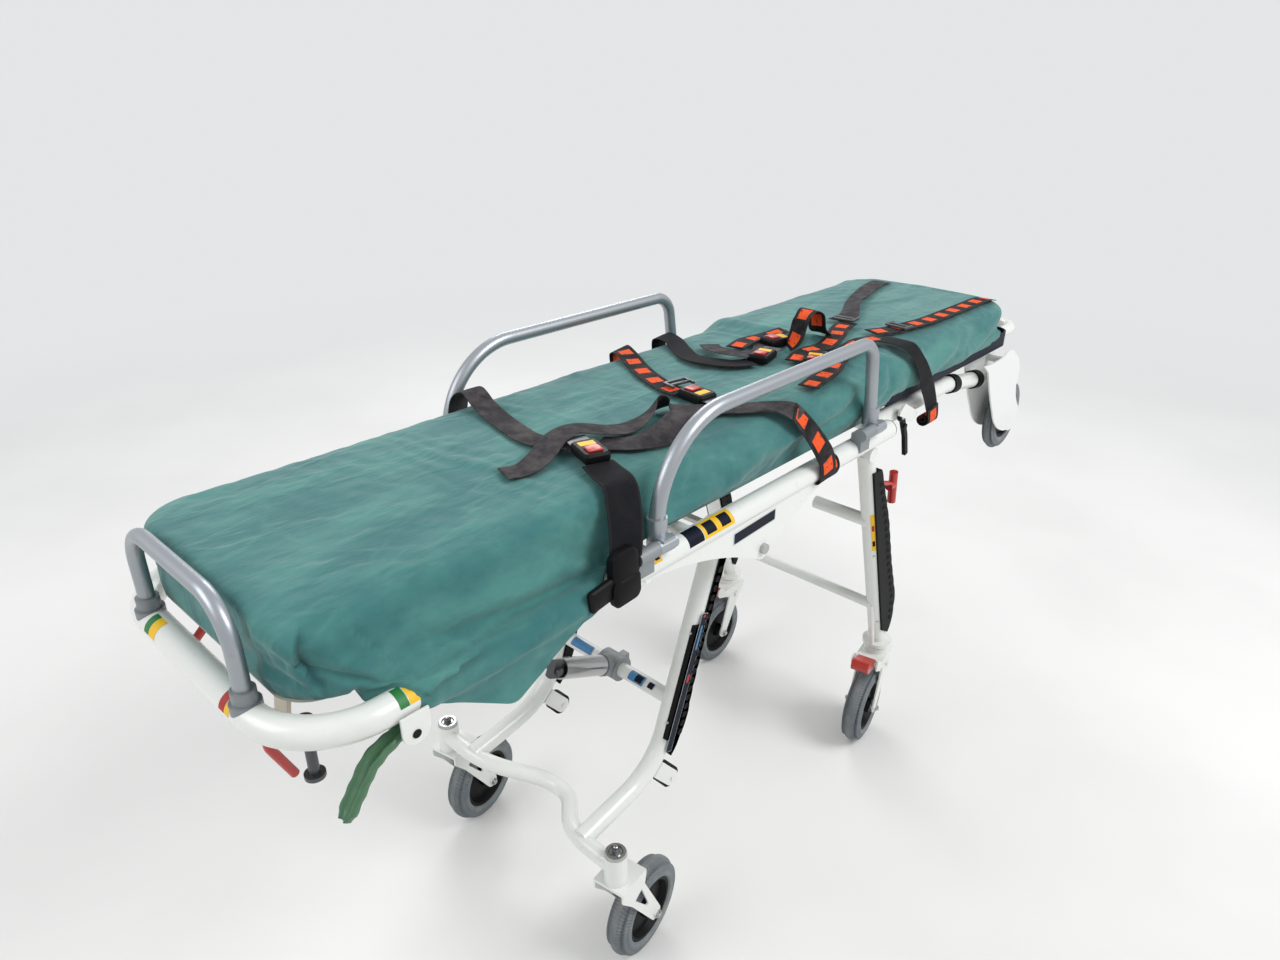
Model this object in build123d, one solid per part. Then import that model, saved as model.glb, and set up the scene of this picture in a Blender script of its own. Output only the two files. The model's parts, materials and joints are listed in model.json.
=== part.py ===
from build123d import *
from math import cos, sin, radians, atan2
import os

# Wheeled self-loading stretcher. +X points to the head end, +Z is up, and the origin lies on
# the floor under the middle. "right" is the side at negative Y and "left" is the other one.
# A station is the distance along X from the axis of the foot loop's front tube.

# Overall sizes
overall_length = 2230.0
rail_d = 42.0
rail_y = 261.0
rail_z = 904.0
rail_head_station = 1362.0
loop_bend_r = 112.0
loop_straight = 8.0
rail_r = rail_d / 2
nose_x = rail_r - overall_length / 2
sides = ((-1, "right"), (1, "left"))

# Running gap between a turning piece and its seat, the gap round soft pieces and rubber, and
# the slip fit of a pin in its hole
running_gap = 0.3
soft_gap = 0.3
pin_gap = 0.25
through = 60.0


def at(station, y, z):
    return Vector(nose_x + station, y, z)


def rod(a, b, r):
    """Round bar from point a to point b."""
    a = Vector(a)
    b = Vector(b)
    plane = Plane(origin=a, z_dir=(b - a))
    return extrude(plane * Circle(r), (b - a).length)


def across(station, y0, y1, z, r):
    """Round bar along Y between two sides."""
    return rod(at(station, y0, z), at(station, y1, z), r)


def bent_tube(points, radii, r):
    """Round bar along straight runs joined by tangent arcs."""
    path = FilletPolyline(*points, radius=radii)
    return sweep(Plane(origin=path @ 0, z_dir=path % 0) * Circle(r), path=path)


def plate_y(outline, y, thickness):
    """Plate that stands in the XZ plane, centred on y. The outline holds (station, z) points."""
    plane = Plane(origin=(nose_x, y + thickness / 2, 0), x_dir=(1, 0, 0), z_dir=(0, -1, 0))
    return extrude(plane * outline, thickness)


def polygon(*points):
    return make_face(Polyline(*points, points[0]))


def box_at(station, y, z, dx, dy, dz):
    """Box from its middle and its sizes."""
    return Pos(*at(station, y, z)) * Box(dx, dy, dz)


def save(name, *solids):
    os.makedirs("parts", exist_ok=True)
    bodies = []
    for item in solids:
        bodies.extend(item.solids())
    shape = bodies[0] if len(bodies) == 1 else Compound(children=bodies)
    shape.label = name
    export_step(shape, f"parts/{name}.step")


# Main frame: one bent loop at the foot end, closed by the two rails
loop_end_station = loop_bend_r + loop_straight


def rail_cutter(y):
    return rod(at(-through, y, rail_z), at(rail_head_station + through, y, rail_z), rail_r)


def loop_tube():
    points = [
        at(loop_end_station, -rail_y, rail_z),
        at(0, -rail_y, rail_z),
        at(0, rail_y, rail_z),
        at(loop_end_station, rail_y, rail_z),
    ]
    return bent_tube(points, loop_bend_r, rail_r)


def frame_tubes():
    save("foot_loop", loop_tube())
    for sign, side in sides:
        start = at(loop_end_station, sign * rail_y, rail_z)
        end = at(rail_head_station, sign * rail_y, rail_z)
        save(f"rail_{side}", rod(start, end, rail_r))


# Grab handle that stands on the foot loop in two saddle sockets
handle_d = 22.0
handle_y = 146.0
handle_top_z = 1058.0
handle_bend_r = 62.0
socket_d = 31.0
socket_top_z = 943.0
socket_depth = 16.0
saddle_flare = 4.0


def foot_handle():
    foot = socket_top_z - socket_depth
    points = [
        at(0, -handle_y, foot),
        at(0, -handle_y, handle_top_z),
        at(0, handle_y, handle_top_z),
        at(0, handle_y, foot),
    ]
    save("foot_handle", bent_tube(points, handle_bend_r, handle_d / 2))
    loop = loop_tube()
    sockets = []
    for sign, side in sides:
        y = sign * handle_y
        saddle_z = rail_z + rail_r
        body = rod(at(0, y, rail_z), at(0, y, socket_top_z), socket_d / 2)
        saddle = rod(at(0, y, rail_z), at(0, y, saddle_z), socket_d / 2 + saddle_flare)
        bore = rod(at(0, y, foot), at(0, y, socket_top_z + through), handle_d / 2)
        sockets.append(body + saddle - bore - loop)
    save("handle_sockets", *sockets)


# Folding legs: pivots and places, all on the side view, as (station, z)
foot_pivot = (895.0, 809.0)
head_pivot = (1313.0, 858.0)
caster_ring_z = 262.0
head_stem = (1504.6, 243.0)
foot_stem = (519.4, 254.0)
leg_d = 39.0
leg_r = leg_d / 2
shaft_d = 16.0

# Side plates under the rails, which carry the foot legs' shaft
gusset_y = 270.0
gusset_t = 5.0
gusset_foot_station = 574.0
gusset_head_station = 1100.0
gusset_nose_r = 22.0
gusset_edge_z = rail_z - 20.0
gusset_top_z = rail_z - 12.0
gusset_foot_mid = (712.0, 859.0)
gusset_head_mid = (1004.0, 842.0)
bolt_head_d = 20.0
bolt_head_t = 8.0


def gussets():
    px, pz = foot_pivot
    foot = gusset_foot_station
    foot_arc = ThreePointArc((foot + 14, gusset_edge_z - 2), gusset_foot_mid, (px - 14, pz - gusset_nose_r + 4))
    nose = ThreePointArc(foot_arc @ 1, (px + 8, pz - gusset_nose_r), (px + gusset_nose_r, pz - 6))
    head_arc = ThreePointArc(nose @ 1, gusset_head_mid, (gusset_head_station, gusset_edge_z))
    tip = ThreePointArc((foot + 6, gusset_top_z), (foot, gusset_edge_z + 4), foot_arc @ 0)
    rim = Polyline(head_arc @ 1, (gusset_head_station, gusset_top_z), (foot + 6, gusset_top_z))
    outline = make_face([tip, foot_arc, nose, head_arc, rim])
    bolts = []
    for sign, side in sides:
        y = sign * gusset_y
        plate = plate_y(outline, y, gusset_t) - rail_cutter(sign * rail_y)
        save(f"gusset_{side}", plate - across(px, y - gusset_t, y + gusset_t, pz, shaft_d / 2))
        face = sign * (gusset_y + gusset_t / 2)
        bolts.append(across(px, face, face + sign * bolt_head_t, pz, bolt_head_d / 2))
    reach = gusset_y + gusset_t / 2
    save("foot_leg_shaft", across(px, -reach, reach, pz, shaft_d / 2) + bolts[0] + bolts[1])


# Cross tubes between the rails, (station, diameter), each with its top against the base panel
cross_tubes = ((150.0, 25.0), (700.0, 25.0), (1345.0, 30.0))
lever_tube, middle_tube, head_tube = cross_tubes
panel_z = 924.0
lug_t = 6.0
lug_r = 18.0
lug_neck = 44.0


def cross_tube(station, d, reach=rail_y):
    return across(station, -reach, reach, panel_z - d / 2, d / 2)


def cross_members():
    tubes = []
    for station, d in cross_tubes:
        tubes.append(cross_tube(station, d) - rail_cutter(rail_y) - rail_cutter(-rail_y))
    save("cross_tubes", *tubes)
    lugs = []
    px, pz = head_pivot
    for sign, side in sides:
        y = sign * (head_stem[1] - leg_r - lug_t)
        lug = across(px, y - lug_t / 2, y + lug_t / 2, pz, lug_r)
        neck = box_at((px + head_tube[0]) / 2, y, (pz + rail_z) / 2, lug_neck, lug_t, rail_z - pz)
        pin = across(px, y, sign * (head_stem[1] + leg_r), pz, shaft_d / 2)
        lugs.append(lug + neck + pin - cross_tube(*head_tube))
    save("head_leg_lugs", *lugs)


# The head end follows the overall length: loop, tray, mattress and loading wheels
back_loop_d = 30.0
back_loop_reach = 119.0
loop_end = overall_length - rail_r - back_loop_d / 2
tray_end = loop_end - back_loop_reach

# Lying surface: thin base panel and the mattress in parts with a fold between them
panel_t = 4.0
panel_y = 216.0
panel_foot = 28.0
hinge_station = 1391.0
hinge_z = 934.0
mattress_y = 232.0
mattress_z = panel_z + panel_t + soft_gap
mattress_h = 112.0
mattress_foot = 24.0
mattress_edge_r = 14.0
seat_end = hinge_station - 46.0
back_start = hinge_station + 110.0
mattress_head = 35.0
back_end = tray_end - mattress_head
corner_r = 70.0


def slab(x0, x1, half_y, z0, z1, r_foot, r_head):
    """Flat block between two stations, with upright edges rounded at each end."""
    block = box_at((x0 + x1) / 2, 0, (z0 + z1) / 2, x1 - x0, 2 * half_y, z1 - z0)
    if r_foot > 0:
        block = fillet(block.edges().filter_by(Axis.Z).sort_by(Axis.X)[:2], r_foot)
    if r_head > 0:
        block = fillet(block.edges().filter_by(Axis.Z).sort_by(Axis.X)[-2:], r_head)
    return block


def soften(block):
    """Round the two long top edges of a mattress block."""
    return fillet(block.faces().sort_by(Axis.Z)[-1].edges().filter_by(Axis.X), mattress_edge_r)


def mattress():
    top = mattress_z + mattress_h
    save("mattress_seat", soften(slab(mattress_foot, seat_end, mattress_y, mattress_z, top, corner_r, 0)))
    panel = slab(panel_foot, hinge_station - 20, panel_y, panel_z, panel_z + panel_t, corner_r - 10, 0)
    save("seat_panel", panel)


def back_mattress():
    z0 = tray_floor_z + tray_t + soft_gap
    z1 = z0 + mattress_h
    half = tray_y - tray_t - soft_gap
    save("mattress_back", soften(slab(back_start, back_end, half, z0, z1, 0, corner_r)))
    length = back_start - seat_end - 2 * soft_gap
    save("mattress_fold", box_at((seat_end + back_start) / 2, 0, (z0 + z1) / 2, length, 2 * half, z1 - z0))


# Backrest: moulded tray with a raised rim, and a tube loop past its head end
tray_y = 235.0
tray_t = 4.0
tray_floor_z = 938.0
tray_h = 38.0
tray_start = hinge_station + 8.0
tray_corner_r = 50.0
back_loop_y = 205.0
back_loop_z = 958.0
back_loop_bend_r = 70.0
hinge_d = 16.0
hinge_pin_d = 8.0
knuckle_ys = (-180.0, 0.0, 180.0)
knuckle_w = 48.0
leaf_l = 28.0
leaf_t = 5.0
eye_ys = (-92.0, 92.0)
eye_t = 6.0


def backrest():
    outer = slab(tray_start, tray_end, tray_y, tray_floor_z, tray_floor_z + tray_h, 0, tray_corner_r)
    inner = slab(tray_start - through, tray_end - tray_t, tray_y - tray_t, tray_floor_z + tray_t,
                 tray_floor_z + tray_h + through, 0, tray_corner_r - tray_t)
    save("back_tray", outer - inner)
    leaves = []
    for y in knuckle_ys:
        knuckle = across(hinge_station, y - knuckle_w / 2, y + knuckle_w / 2, hinge_z, hinge_d / 2)
        leaf = box_at(hinge_station + leaf_l / 2, y, tray_floor_z - leaf_t / 2, leaf_l, knuckle_w, leaf_t)
        bore = across(hinge_station, y - knuckle_w, y + knuckle_w, hinge_z, hinge_pin_d / 2 + pin_gap)
        leaves.append(knuckle + leaf - bore)
    save("back_hinge_leaves", *leaves)
    points = [
        at(tray_end, -back_loop_y, back_loop_z),
        at(loop_end, -back_loop_y, back_loop_z),
        at(loop_end, back_loop_y, back_loop_z),
        at(tray_end, back_loop_y, back_loop_z),
    ]
    save("back_loop", bent_tube(points, back_loop_bend_r, back_loop_d / 2))
    reach = knuckle_ys[-1] + knuckle_w / 2
    pin = across(hinge_station, -reach, reach, hinge_z, hinge_pin_d / 2)
    for y in eye_ys:
        eye = across(hinge_station, y - eye_t / 2, y + eye_t / 2, hinge_z, hinge_d / 2)
        foot = box_at(hinge_station, y, (load_tube_z + hinge_z) / 2, hinge_d, eye_t, hinge_z - load_tube_z)
        pin += eye + foot
    save("back_hinge_pin", pin - load_tie(hinge_station))


# Carriage at the head end: two tubes that dip to the loading wheels between moulded covers
load_tube_d = 40.0
load_tube_y = 220.0
load_tube_z = rail_z
load_start = 1362.0
load_axle_back = 80.0
load_axle = (loop_end - load_axle_back, 722.0)
load_end_back = 158.0
load_end = (load_axle[0] - load_end_back, 864.0)
load_dip = 240.0
load_bend = (load_end[0] - load_dip, load_tube_z)
load_bend_r = 160.0
load_tie_r = 12.0
load_tie_back = 26.0
load_tie_station = load_bend[0] - load_tie_back
load_wheel_d = 200.0
load_wheel_w = 32.0
load_wheel_y = 236.0
load_axle_r = 6.0
cover_t = 4.0
cover_ys = (198.0, 260.0)
cover_web = (load_axle[0] - 84.0, 900.0, 9.0)
collar_shares = (0.18, 0.78)
collar_l = 32.0
collar_t = 4.0
# Side view of a cover, each row an arc through three points: distance past the axle, and z
cover_outline = (
    (-258, 928, -179, 922, -129, 926),
    (-129, 926, -84, 934, -50, 914),
    (-50, 914, -8, 880, 0, 812),
    (0, 812, 14, 780, 50, 738),
    (50, 738, 48, 690, -8, 682),
    (-8, 682, -78, 706, -142, 772),
    (-142, 772, -186, 838, -222, 902),
)


def load_tie(station):
    return across(station, -load_tube_y, load_tube_y, load_tube_z, load_tie_r)


def carriage():
    arcs = []
    for x0, z0, x1, z1, x2, z2 in cover_outline:
        start, middle, stop = ((load_axle[0] + x, z) for x, z in ((x0, z0), (x1, z1), (x2, z2)))
        arcs.append(ThreePointArc(start, middle, stop))
    outline = make_face(arcs + [Line(arcs[-1] @ 1, arcs[0] @ 0)])
    tubes = []
    collars = []
    web_station, web_z, web_r = cover_web
    for sign, side in sides:
        y = sign * load_tube_y
        plates = [plate_y(outline, sign * cover_y, cover_t) for cover_y in cover_ys]
        ends = [sign * (cover_ys[0] + cover_t / 2), sign * (cover_ys[1] - cover_t / 2)]
        web = across(web_station, ends[0], ends[1], web_z, web_r)
        axle = across(load_axle[0], ends[0], ends[1], load_axle[1], load_axle_r)
        save(f"load_cover_{side}", plates[0] + plates[1] + web + axle)
        hub = at(load_axle[0], sign * load_wheel_y, load_axle[1])
        wheel("load", side, hub, load_wheel_d, load_wheel_w, 0.0, load_axle_r)
        bend = at(load_bend[0], y, load_bend[1])
        end = at(load_end[0], y, load_end[1])
        tube = bent_tube([at(load_start, y, load_tube_z), bend, end], load_bend_r, load_tube_d / 2)
        tubes.append(tube)
        for share in collar_shares:
            middle = bend + (end - bend) * share
            half = (end - bend).normalized() * collar_l / 2
            ring = rod(middle - half, middle + half, load_tube_d / 2 + collar_t)
            collars.append(ring - tube - plates[0] - plates[1])
    both = tubes[0] + tubes[1] + load_tie(hinge_station) + load_tie(load_tie_station)
    save("load_tubes", both - rail_cutter(rail_y) - rail_cutter(-rail_y))
    save("load_collars", *collars)


# Wheels: the shares of the radius at which the tyre meets its rim and turns into its tread
rim_share = 0.66
shoulder_share = 0.86
hub_boss_r = 18.0
rim_lip = 6.0


def wheel(group, side, centre, d, width, yaw, axle_r):
    """Rubber tyre on a moulded hub, standing upright and turned by yaw about Z."""
    r = d / 2
    rim = r * rim_share
    shoulder = r * shoulder_share
    half = width / 2
    seat = half * 0.8
    web = half * 0.3
    tyre_profile = make_face([
        Polyline((rim, -seat), (rim, seat), (shoulder, half)),
        ThreePointArc((shoulder, half), (r, 0), (shoulder, -half)),
        Line((shoulder, -half), (rim, -seat)),
    ])
    bore = axle_r + pin_gap
    hub_profile = polygon(
        (bore, -half), (hub_boss_r, -half), (hub_boss_r + 2, -web * 1.5), (rim * 0.82, -web),
        (rim - rim_lip, -seat), (rim, -seat), (rim, seat), (rim - rim_lip, seat),
        (rim * 0.82, web), (hub_boss_r + 2, web * 1.5), (hub_boss_r, half), (bore, half))
    place = Pos(*centre) * Rot(0, 0, yaw) * Rot(90, 0, 0)
    upright = Plane(origin=(0, 0, 0), x_dir=(1, 0, 0), z_dir=(0, -1, 0))
    save(f"{group}_tyre_{side}", place * revolve(upright * tyre_profile, Axis.Z))
    save(f"{group}_hub_{side}", place * revolve(upright * hub_profile, Axis.Z))


# Swivel casters under the four legs, (leg pair, side, station, y, yaw of the trail)
caster_wheel_d = 200.0
caster_wheel_w = 48.0
caster_trails = {"head": 58.0, "foot": 86.0}
caster_axle_r = 6.0
caster_bolt_r = 9.0
fork_half = 30.0
fork_t = 4.0
crown_t = 6.0
casters = (
    ("head", "right", head_stem[0], -head_stem[1], 190.0),
    ("head", "left", head_stem[0], head_stem[1], 182.0),
    ("foot", "right", foot_stem[0], -foot_stem[1], 8.0),
    ("foot", "left", foot_stem[0], foot_stem[1], 12.0),
)
axle_z = caster_wheel_d / 2

# Fork arms narrow from their root (local x, z, half width) to the axle
foot_arm = (25.0, 211.0, 23.5, 15.0)
foot_crown = (-24.0, 50.0, 256.0)
head_arm = (12.0, 205.0, 24.0, 14.5)
head_crown = (-34.0, 56.0, 241.0)
pedal_lug = (76.0, 244.0, 15.0)
pedal_pin_r = 5.0
pedal_w = 44.0
neck_r = 30.0
bearing_r = 22.0


def arm_points(arm, trail):
    """Both edges of a leaning fork arm and the low point of its round end."""
    x, z, half, half_end = arm
    along = Vector(trail - x, axle_z - z).normalized()
    side = Vector(-along.Y, along.X)
    root = Vector(x, z)
    axle = Vector(trail, axle_z)
    back = [root + side * half, axle + side * half_end]
    front = [axle - side * half_end, root - side * half]
    return back, axle + along * half_end, front


def foot_fork_side(trail):
    x0, x1, top = foot_crown
    back, low, front = arm_points(foot_arm, trail)
    outline = make_face([
        Polyline((x0, top), (x1, top), (x1, top - 14), back[0], back[1]),
        ThreePointArc(back[1], low, front[0]),
        Polyline(front[0], front[1], (x0, top - 22), (x0, top)),
    ])
    middle = (back[0] + front[1]) / 2
    tip = middle + (Vector(trail, axle_z) - middle) * 0.66
    window = polygon(back[0] * 0.76 + front[1] * 0.24, front[1] * 0.76 + back[0] * 0.24, tip)
    return outline - fillet(window.vertices(), 3.0)


def head_fork_side(trail):
    x0, x1, top = head_crown
    back, low, front = arm_points(head_arm, trail)
    lug_x, lug_z, lug_r0 = pedal_lug
    return make_face([
        Polyline((x0, top), (x1, top), (lug_x - 4, lug_z + lug_r0)),
        ThreePointArc((lug_x - 4, lug_z + lug_r0), (lug_x + lug_r0, lug_z), (lug_x, lug_z - lug_r0)),
        Polyline((lug_x, lug_z - lug_r0), (x1 - 12, top - 24), back[0], back[1]),
        ThreePointArc(back[1], low, front[0]),
        Polyline(front[0], front[1], (x0, top - 12), (x0, top)),
    ])


def caster(group, side, station, y, yaw):
    trail = caster_trails[group]
    place = Pos(*at(station, y, 0)) * Rot(0, 0, yaw)
    top = caster_ring_z - running_gap
    crown = foot_crown if group == "foot" else head_crown
    outline = foot_fork_side(trail) if group == "foot" else head_fork_side(trail)
    x0, x1, crown_top = crown
    width = 2 * (fork_half + fork_t)
    fork = Pos((x0 + x1) / 2, 0, crown_top - crown_t / 2) * Box(x1 - x0, width, crown_t)
    fork += Pos(0, 0, (top + crown_top) / 2) * Cylinder(bearing_r, top - crown_top)
    if group == "head":
        neck_h = (top - crown_top) * 0.72
        fork += Pos(0, 0, crown_top + neck_h / 2) * Cylinder(neck_r, neck_h)
    bolts = [(trail, axle_z)]
    if group == "head":
        bolts.append((4.0, 210.0))
    for k in (-1, 1):
        outer_y = k * (fork_half + fork_t / 2) + fork_t / 2
        plane = Plane(origin=(0, outer_y, 0), x_dir=(1, 0, 0), z_dir=(0, -1, 0))
        fork += extrude(plane * outline, fork_t)
        for x, z in bolts:
            head = Plane(origin=(x, k * (fork_half + fork_t), z), z_dir=(0, k, 0))
            fork += extrude(head * RegularPolygon(caster_bolt_r, 6), 5)
    axle_plane = Plane(origin=(trail, -fork_half - fork_t, axle_z), z_dir=(0, 1, 0))
    fork += extrude(axle_plane * Circle(caster_axle_r), width)
    if group == "head":
        lug_plane = Plane(origin=(pedal_lug[0], -fork_half - fork_t, pedal_lug[1]), z_dir=(0, 1, 0))
        fork += extrude(lug_plane * Circle(pedal_pin_r), width)
        save(f"head_pedal_{side}", place * brake_pedal())
    save(f"{group}_fork_{side}", place * fork)
    a = radians(yaw)
    centre = at(station + trail * cos(a), y + trail * sin(a), axle_z)
    wheel(group, side, centre, caster_wheel_d, caster_wheel_w, yaw, caster_axle_r)


def brake_pedal():
    """Red pedal between the fork's ears: a wedge with a raised toe lip, above the tyre."""
    x, z, r = pedal_lug
    outline = make_face([
        ThreePointArc((x - 6, z + 11), (x - 12, z), (x, z - 11)),
        Line((x, z - 11), (x + 40, z - 4)),
        ThreePointArc((x + 40, z - 4), (x + 53, z + 12), (x + 44, z + 28)),
        Polyline((x + 44, z + 28), (x + 36, z + 27), (x + 20, z + 18), (x - 6, z + 11)),
    ])
    plane = Plane(origin=(0, pedal_w / 2, 0), x_dir=(1, 0, 0), z_dir=(0, -1, 0))
    block = extrude(plane * outline, pedal_w)
    bore = Plane(origin=(x, -pedal_w, z), z_dir=(0, 1, 0))
    return block - extrude(bore * Circle(pedal_pin_r + pin_gap), 2 * pedal_w)


# Head legs: two straight tubes, a lower tie, two upper stubs, brake rods and a release grip
lower_tie = (1446.0, 405.0, 12.5)
upper_stub = (1364.0, 672.0, 15.0)
stub_inner_y = 103.0
leg_eye_r = 17.0
knee_z = 306.0
flange_r = 37.0
flange_t = 10.0
brake_rod = (30.0, 8.0)


def on_head_leg(z):
    share = (head_pivot[1] - z) / (head_pivot[1] - caster_ring_z)
    return head_pivot[0] + share * (head_stem[0] - head_pivot[0])


def head_leg_tube(y, r=leg_r):
    px, pz = head_pivot
    low = knee_z - 16
    tube = rod(at(px, y, pz), at(on_head_leg(low), y, low), r)
    return tube + rod(at(head_stem[0], y, caster_ring_z), at(head_stem[0], y, knee_z), r)


def head_legs():
    px, pz = head_pivot
    frame = across(lower_tie[0], -head_stem[1], head_stem[1], lower_tie[1], lower_tie[2])
    for sign, side in sides:
        y = sign * head_stem[1]
        leg = head_leg_tube(y) - box_at(px, y, pz + 30, 80, 60, 60)
        leg += across(px, y - leg_r, y + leg_r, pz, leg_eye_r)
        ring = at(head_stem[0], y, caster_ring_z)
        leg += rod(ring, ring + Vector(0, 0, flange_t), flange_r)
        leg += across(upper_stub[0], y, sign * stub_inner_y, upper_stub[1], upper_stub[2])
        rod_station = head_stem[0] - brake_rod[0]
        rod_top = at(on_head_leg(lower_tie[1]) - brake_rod[0] / 2, y, lower_tie[1])
        leg += rod(at(rod_station, y, caster_ring_z + flange_t / 2), rod_top, brake_rod[1])
        frame += leg - across(px, y - through, y + through, pz, shaft_d / 2 + pin_gap)
    save("head_leg_frame", frame)


# Rubber strips clipped over the legs. The outer edge is a row of scallops that follows a table
# of (z, distance from the leg's axis)
strip_pitch = 36.0
scallop = 2.0
strip_w = 46.0
head_strip_back = -9.0
head_strip_edge = ((812.0, 26.0), (658.0, 47.0), (526.0, 51.0), (408.0, 62.0), (332.0, 41.0), (300.0, 16.0))
foot_strip_back = -17.0
foot_strip_step = (632.0, 402.0, 4.0)
foot_strip_edge = ((772.0, 24.0), (592.0, 23.0), (482.0, 28.0), (424.0, 35.0), (380.0, 26.0), (354.0, 14.0))


def edge_at(table, z):
    """Distance from the leg's axis at height z, by straight lines between the table's rows."""
    for (z0, d0), (z1, d1) in zip(table, table[1:]):
        if z0 >= z >= z1:
            return d0 + (d1 - d0) * (z0 - z) / (z0 - z1)
    return table[-1][1]


def scalloped_edge(table, on_leg):
    """Arcs down the outer edge, one for each bump."""
    top = table[0][0]
    low = table[-1][0]
    count = round((top - low) / strip_pitch)
    arcs = []
    for i in range(count):
        heights = [top - (top - low) * (i + share) / count for share in (0.0, 0.5, 1.0)]
        a, b, c = [(on_leg(z) + edge_at(table, z), z) for z in heights]
        arcs.append(ThreePointArc(a, (b[0] + scallop, b[1]), c))
    return arcs


def head_strips():
    strips = []
    top = head_strip_edge[0][0]
    low = head_strip_edge[-1][0]
    for sign, side in sides:
        y = sign * head_stem[1]
        arcs = scalloped_edge(head_strip_edge, on_head_leg)
        back = Polyline(arcs[-1] @ 1, (on_head_leg(low + 20) + head_strip_back, low + 20),
                        (on_head_leg(top) + head_strip_back, top), arcs[0] @ 0)
        strip = plate_y(make_face(arcs + [back]), y, strip_w)
        strip -= head_leg_tube(y, leg_r + soft_gap)
        for station, z, r in (upper_stub, lower_tie):
            strip -= across(station, y, 0, z, r + soft_gap)
        strips.append(strip)
    strips[0] -= t_grip(soft_gap)
    save("head_leg_strips", *strips)


# Red T grip on the near head leg
grip_y = -head_stem[1]
grip_root = (1378.0, 764.0)
grip_cross = (1446.0, 729.0)
grip_ends = ((1463.0, 762.0), (1471.0, 682.0))
grip_stem_r = 6.0
grip_r = 10.0


def t_grip(margin=0.0):
    root = at(grip_root[0], grip_y, grip_root[1])
    cross = at(grip_cross[0], grip_y, grip_cross[1])
    ends = [at(station, grip_y, z) for station, z in grip_ends]
    middle = ends[0] + (ends[1] - ends[0]) * 0.4
    stem = rod(root, middle, grip_stem_r + margin) + rod(cross, middle, grip_stem_r + 4 + margin)
    return stem + rod(ends[0], ends[1], grip_r + margin) - head_leg_tube(grip_y)


# Foot legs: two bent tubes, a wavy tie to the casters, a cross tube and strips
foot_leg_y = 165.0
foot_knee = (724.0, 326.0)
foot_join = (517.0, 292.0)
foot_knee_r = 140.0
foot_cross_z = 469.0
foot_cross_d = 31.0
foot_eye_r = 23.0
foot_eye_half = 22.0
wave_r = 17.0
# One half of the wavy tie as (station, y, z), with the bend radius at each inner point
wave_half = ((517.0, foot_stem[1], 289.0), (517.0, 134.0, 289.0), (609.0, 33.0, 243.0))
wave_radii = (130.0, 78.0)
stem_sleeve_r = 22.0
stem_sleeve_top = 320.0


def on_foot_leg(z):
    share = (foot_pivot[1] - z) / (foot_pivot[1] - foot_knee[1])
    return foot_pivot[0] + share * (foot_knee[0] - foot_pivot[0])


def foot_leg_tube(y, r=leg_r):
    corners = [foot_pivot, foot_knee, foot_join]
    return bent_tube([at(station, y, z) for station, z in corners], foot_knee_r, r)


def foot_legs():
    px, pz = foot_pivot
    far = [at(station, y, z) for station, y, z in wave_half]
    near = [at(station, -y, z) for station, y, z in wave_half]
    radii = [wave_radii[0], wave_radii[1], wave_radii[1], wave_radii[0]]
    frame = bent_tube(near + far[::-1], radii, wave_r)
    x = on_foot_leg(foot_cross_z)
    frame += across(x, -foot_leg_y, foot_leg_y, foot_cross_z, foot_cross_d / 2)
    for sign, side in sides:
        y = sign * foot_leg_y
        stem_y = sign * foot_stem[1]
        frame += foot_leg_tube(y)
        frame += across(px, y - foot_eye_half, y + foot_eye_half, pz, foot_eye_r)
        sleeve = at(foot_stem[0], stem_y, caster_ring_z)
        frame += rod(sleeve, at(foot_stem[0], stem_y, stem_sleeve_top), stem_sleeve_r)
        frame -= across(px, y - through, y + through, pz, shaft_d / 2 + pin_gap)
    save("foot_leg_frame", frame)


def foot_strips():
    strips = []
    top = foot_strip_edge[0][0]
    step_top, step_low, step_back = foot_strip_step
    for sign, side in sides:
        y = sign * foot_leg_y
        arcs = scalloped_edge(foot_strip_edge, on_foot_leg)
        back = Polyline(
            arcs[-1] @ 1, (on_foot_leg(step_low) + step_back, step_low),
            (on_foot_leg(step_low) + foot_strip_back, step_low),
            (on_foot_leg(step_top) + foot_strip_back, step_top),
            (on_foot_leg(step_top) + step_back, step_top), (on_foot_leg(top) + step_back, top), arcs[0] @ 0)
        strip = plate_y(make_face(arcs + [back]), y, strip_w)
        eye = across(foot_pivot[0], y - through, y + through, foot_pivot[1], foot_eye_r + soft_gap)
        tie = across(on_foot_leg(foot_cross_z), y, 0, foot_cross_z, foot_cross_d / 2 + soft_gap)
        strips.append(strip - foot_leg_tube(y, leg_r + soft_gap) - eye - tie)
    save("foot_leg_strips", *strips)


# Roller blocks at the foot legs' knees, which run on the bay's floor when the legs are folded
roller_reach = 75.0
roller_r = 23.0
roller_w = 30.0
roller_cheek_t = 4.0
roller_cheek_half = 17.0
roller_pin_r = 5.0
roller_web = 26.0


def knee_apex():
    """Point on the leg's axis at the middle of the knee's bend, and the way out from there."""
    knee = Vector(*foot_knee)
    up = (Vector(*foot_pivot) - knee).normalized()
    along = (Vector(*foot_join) - knee).normalized()
    out = (up + along).normalized() * -1
    half_angle = radians(up.get_angle(along) / 2)
    return knee - out * (foot_knee_r / sin(half_angle) - foot_knee_r), out


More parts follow.
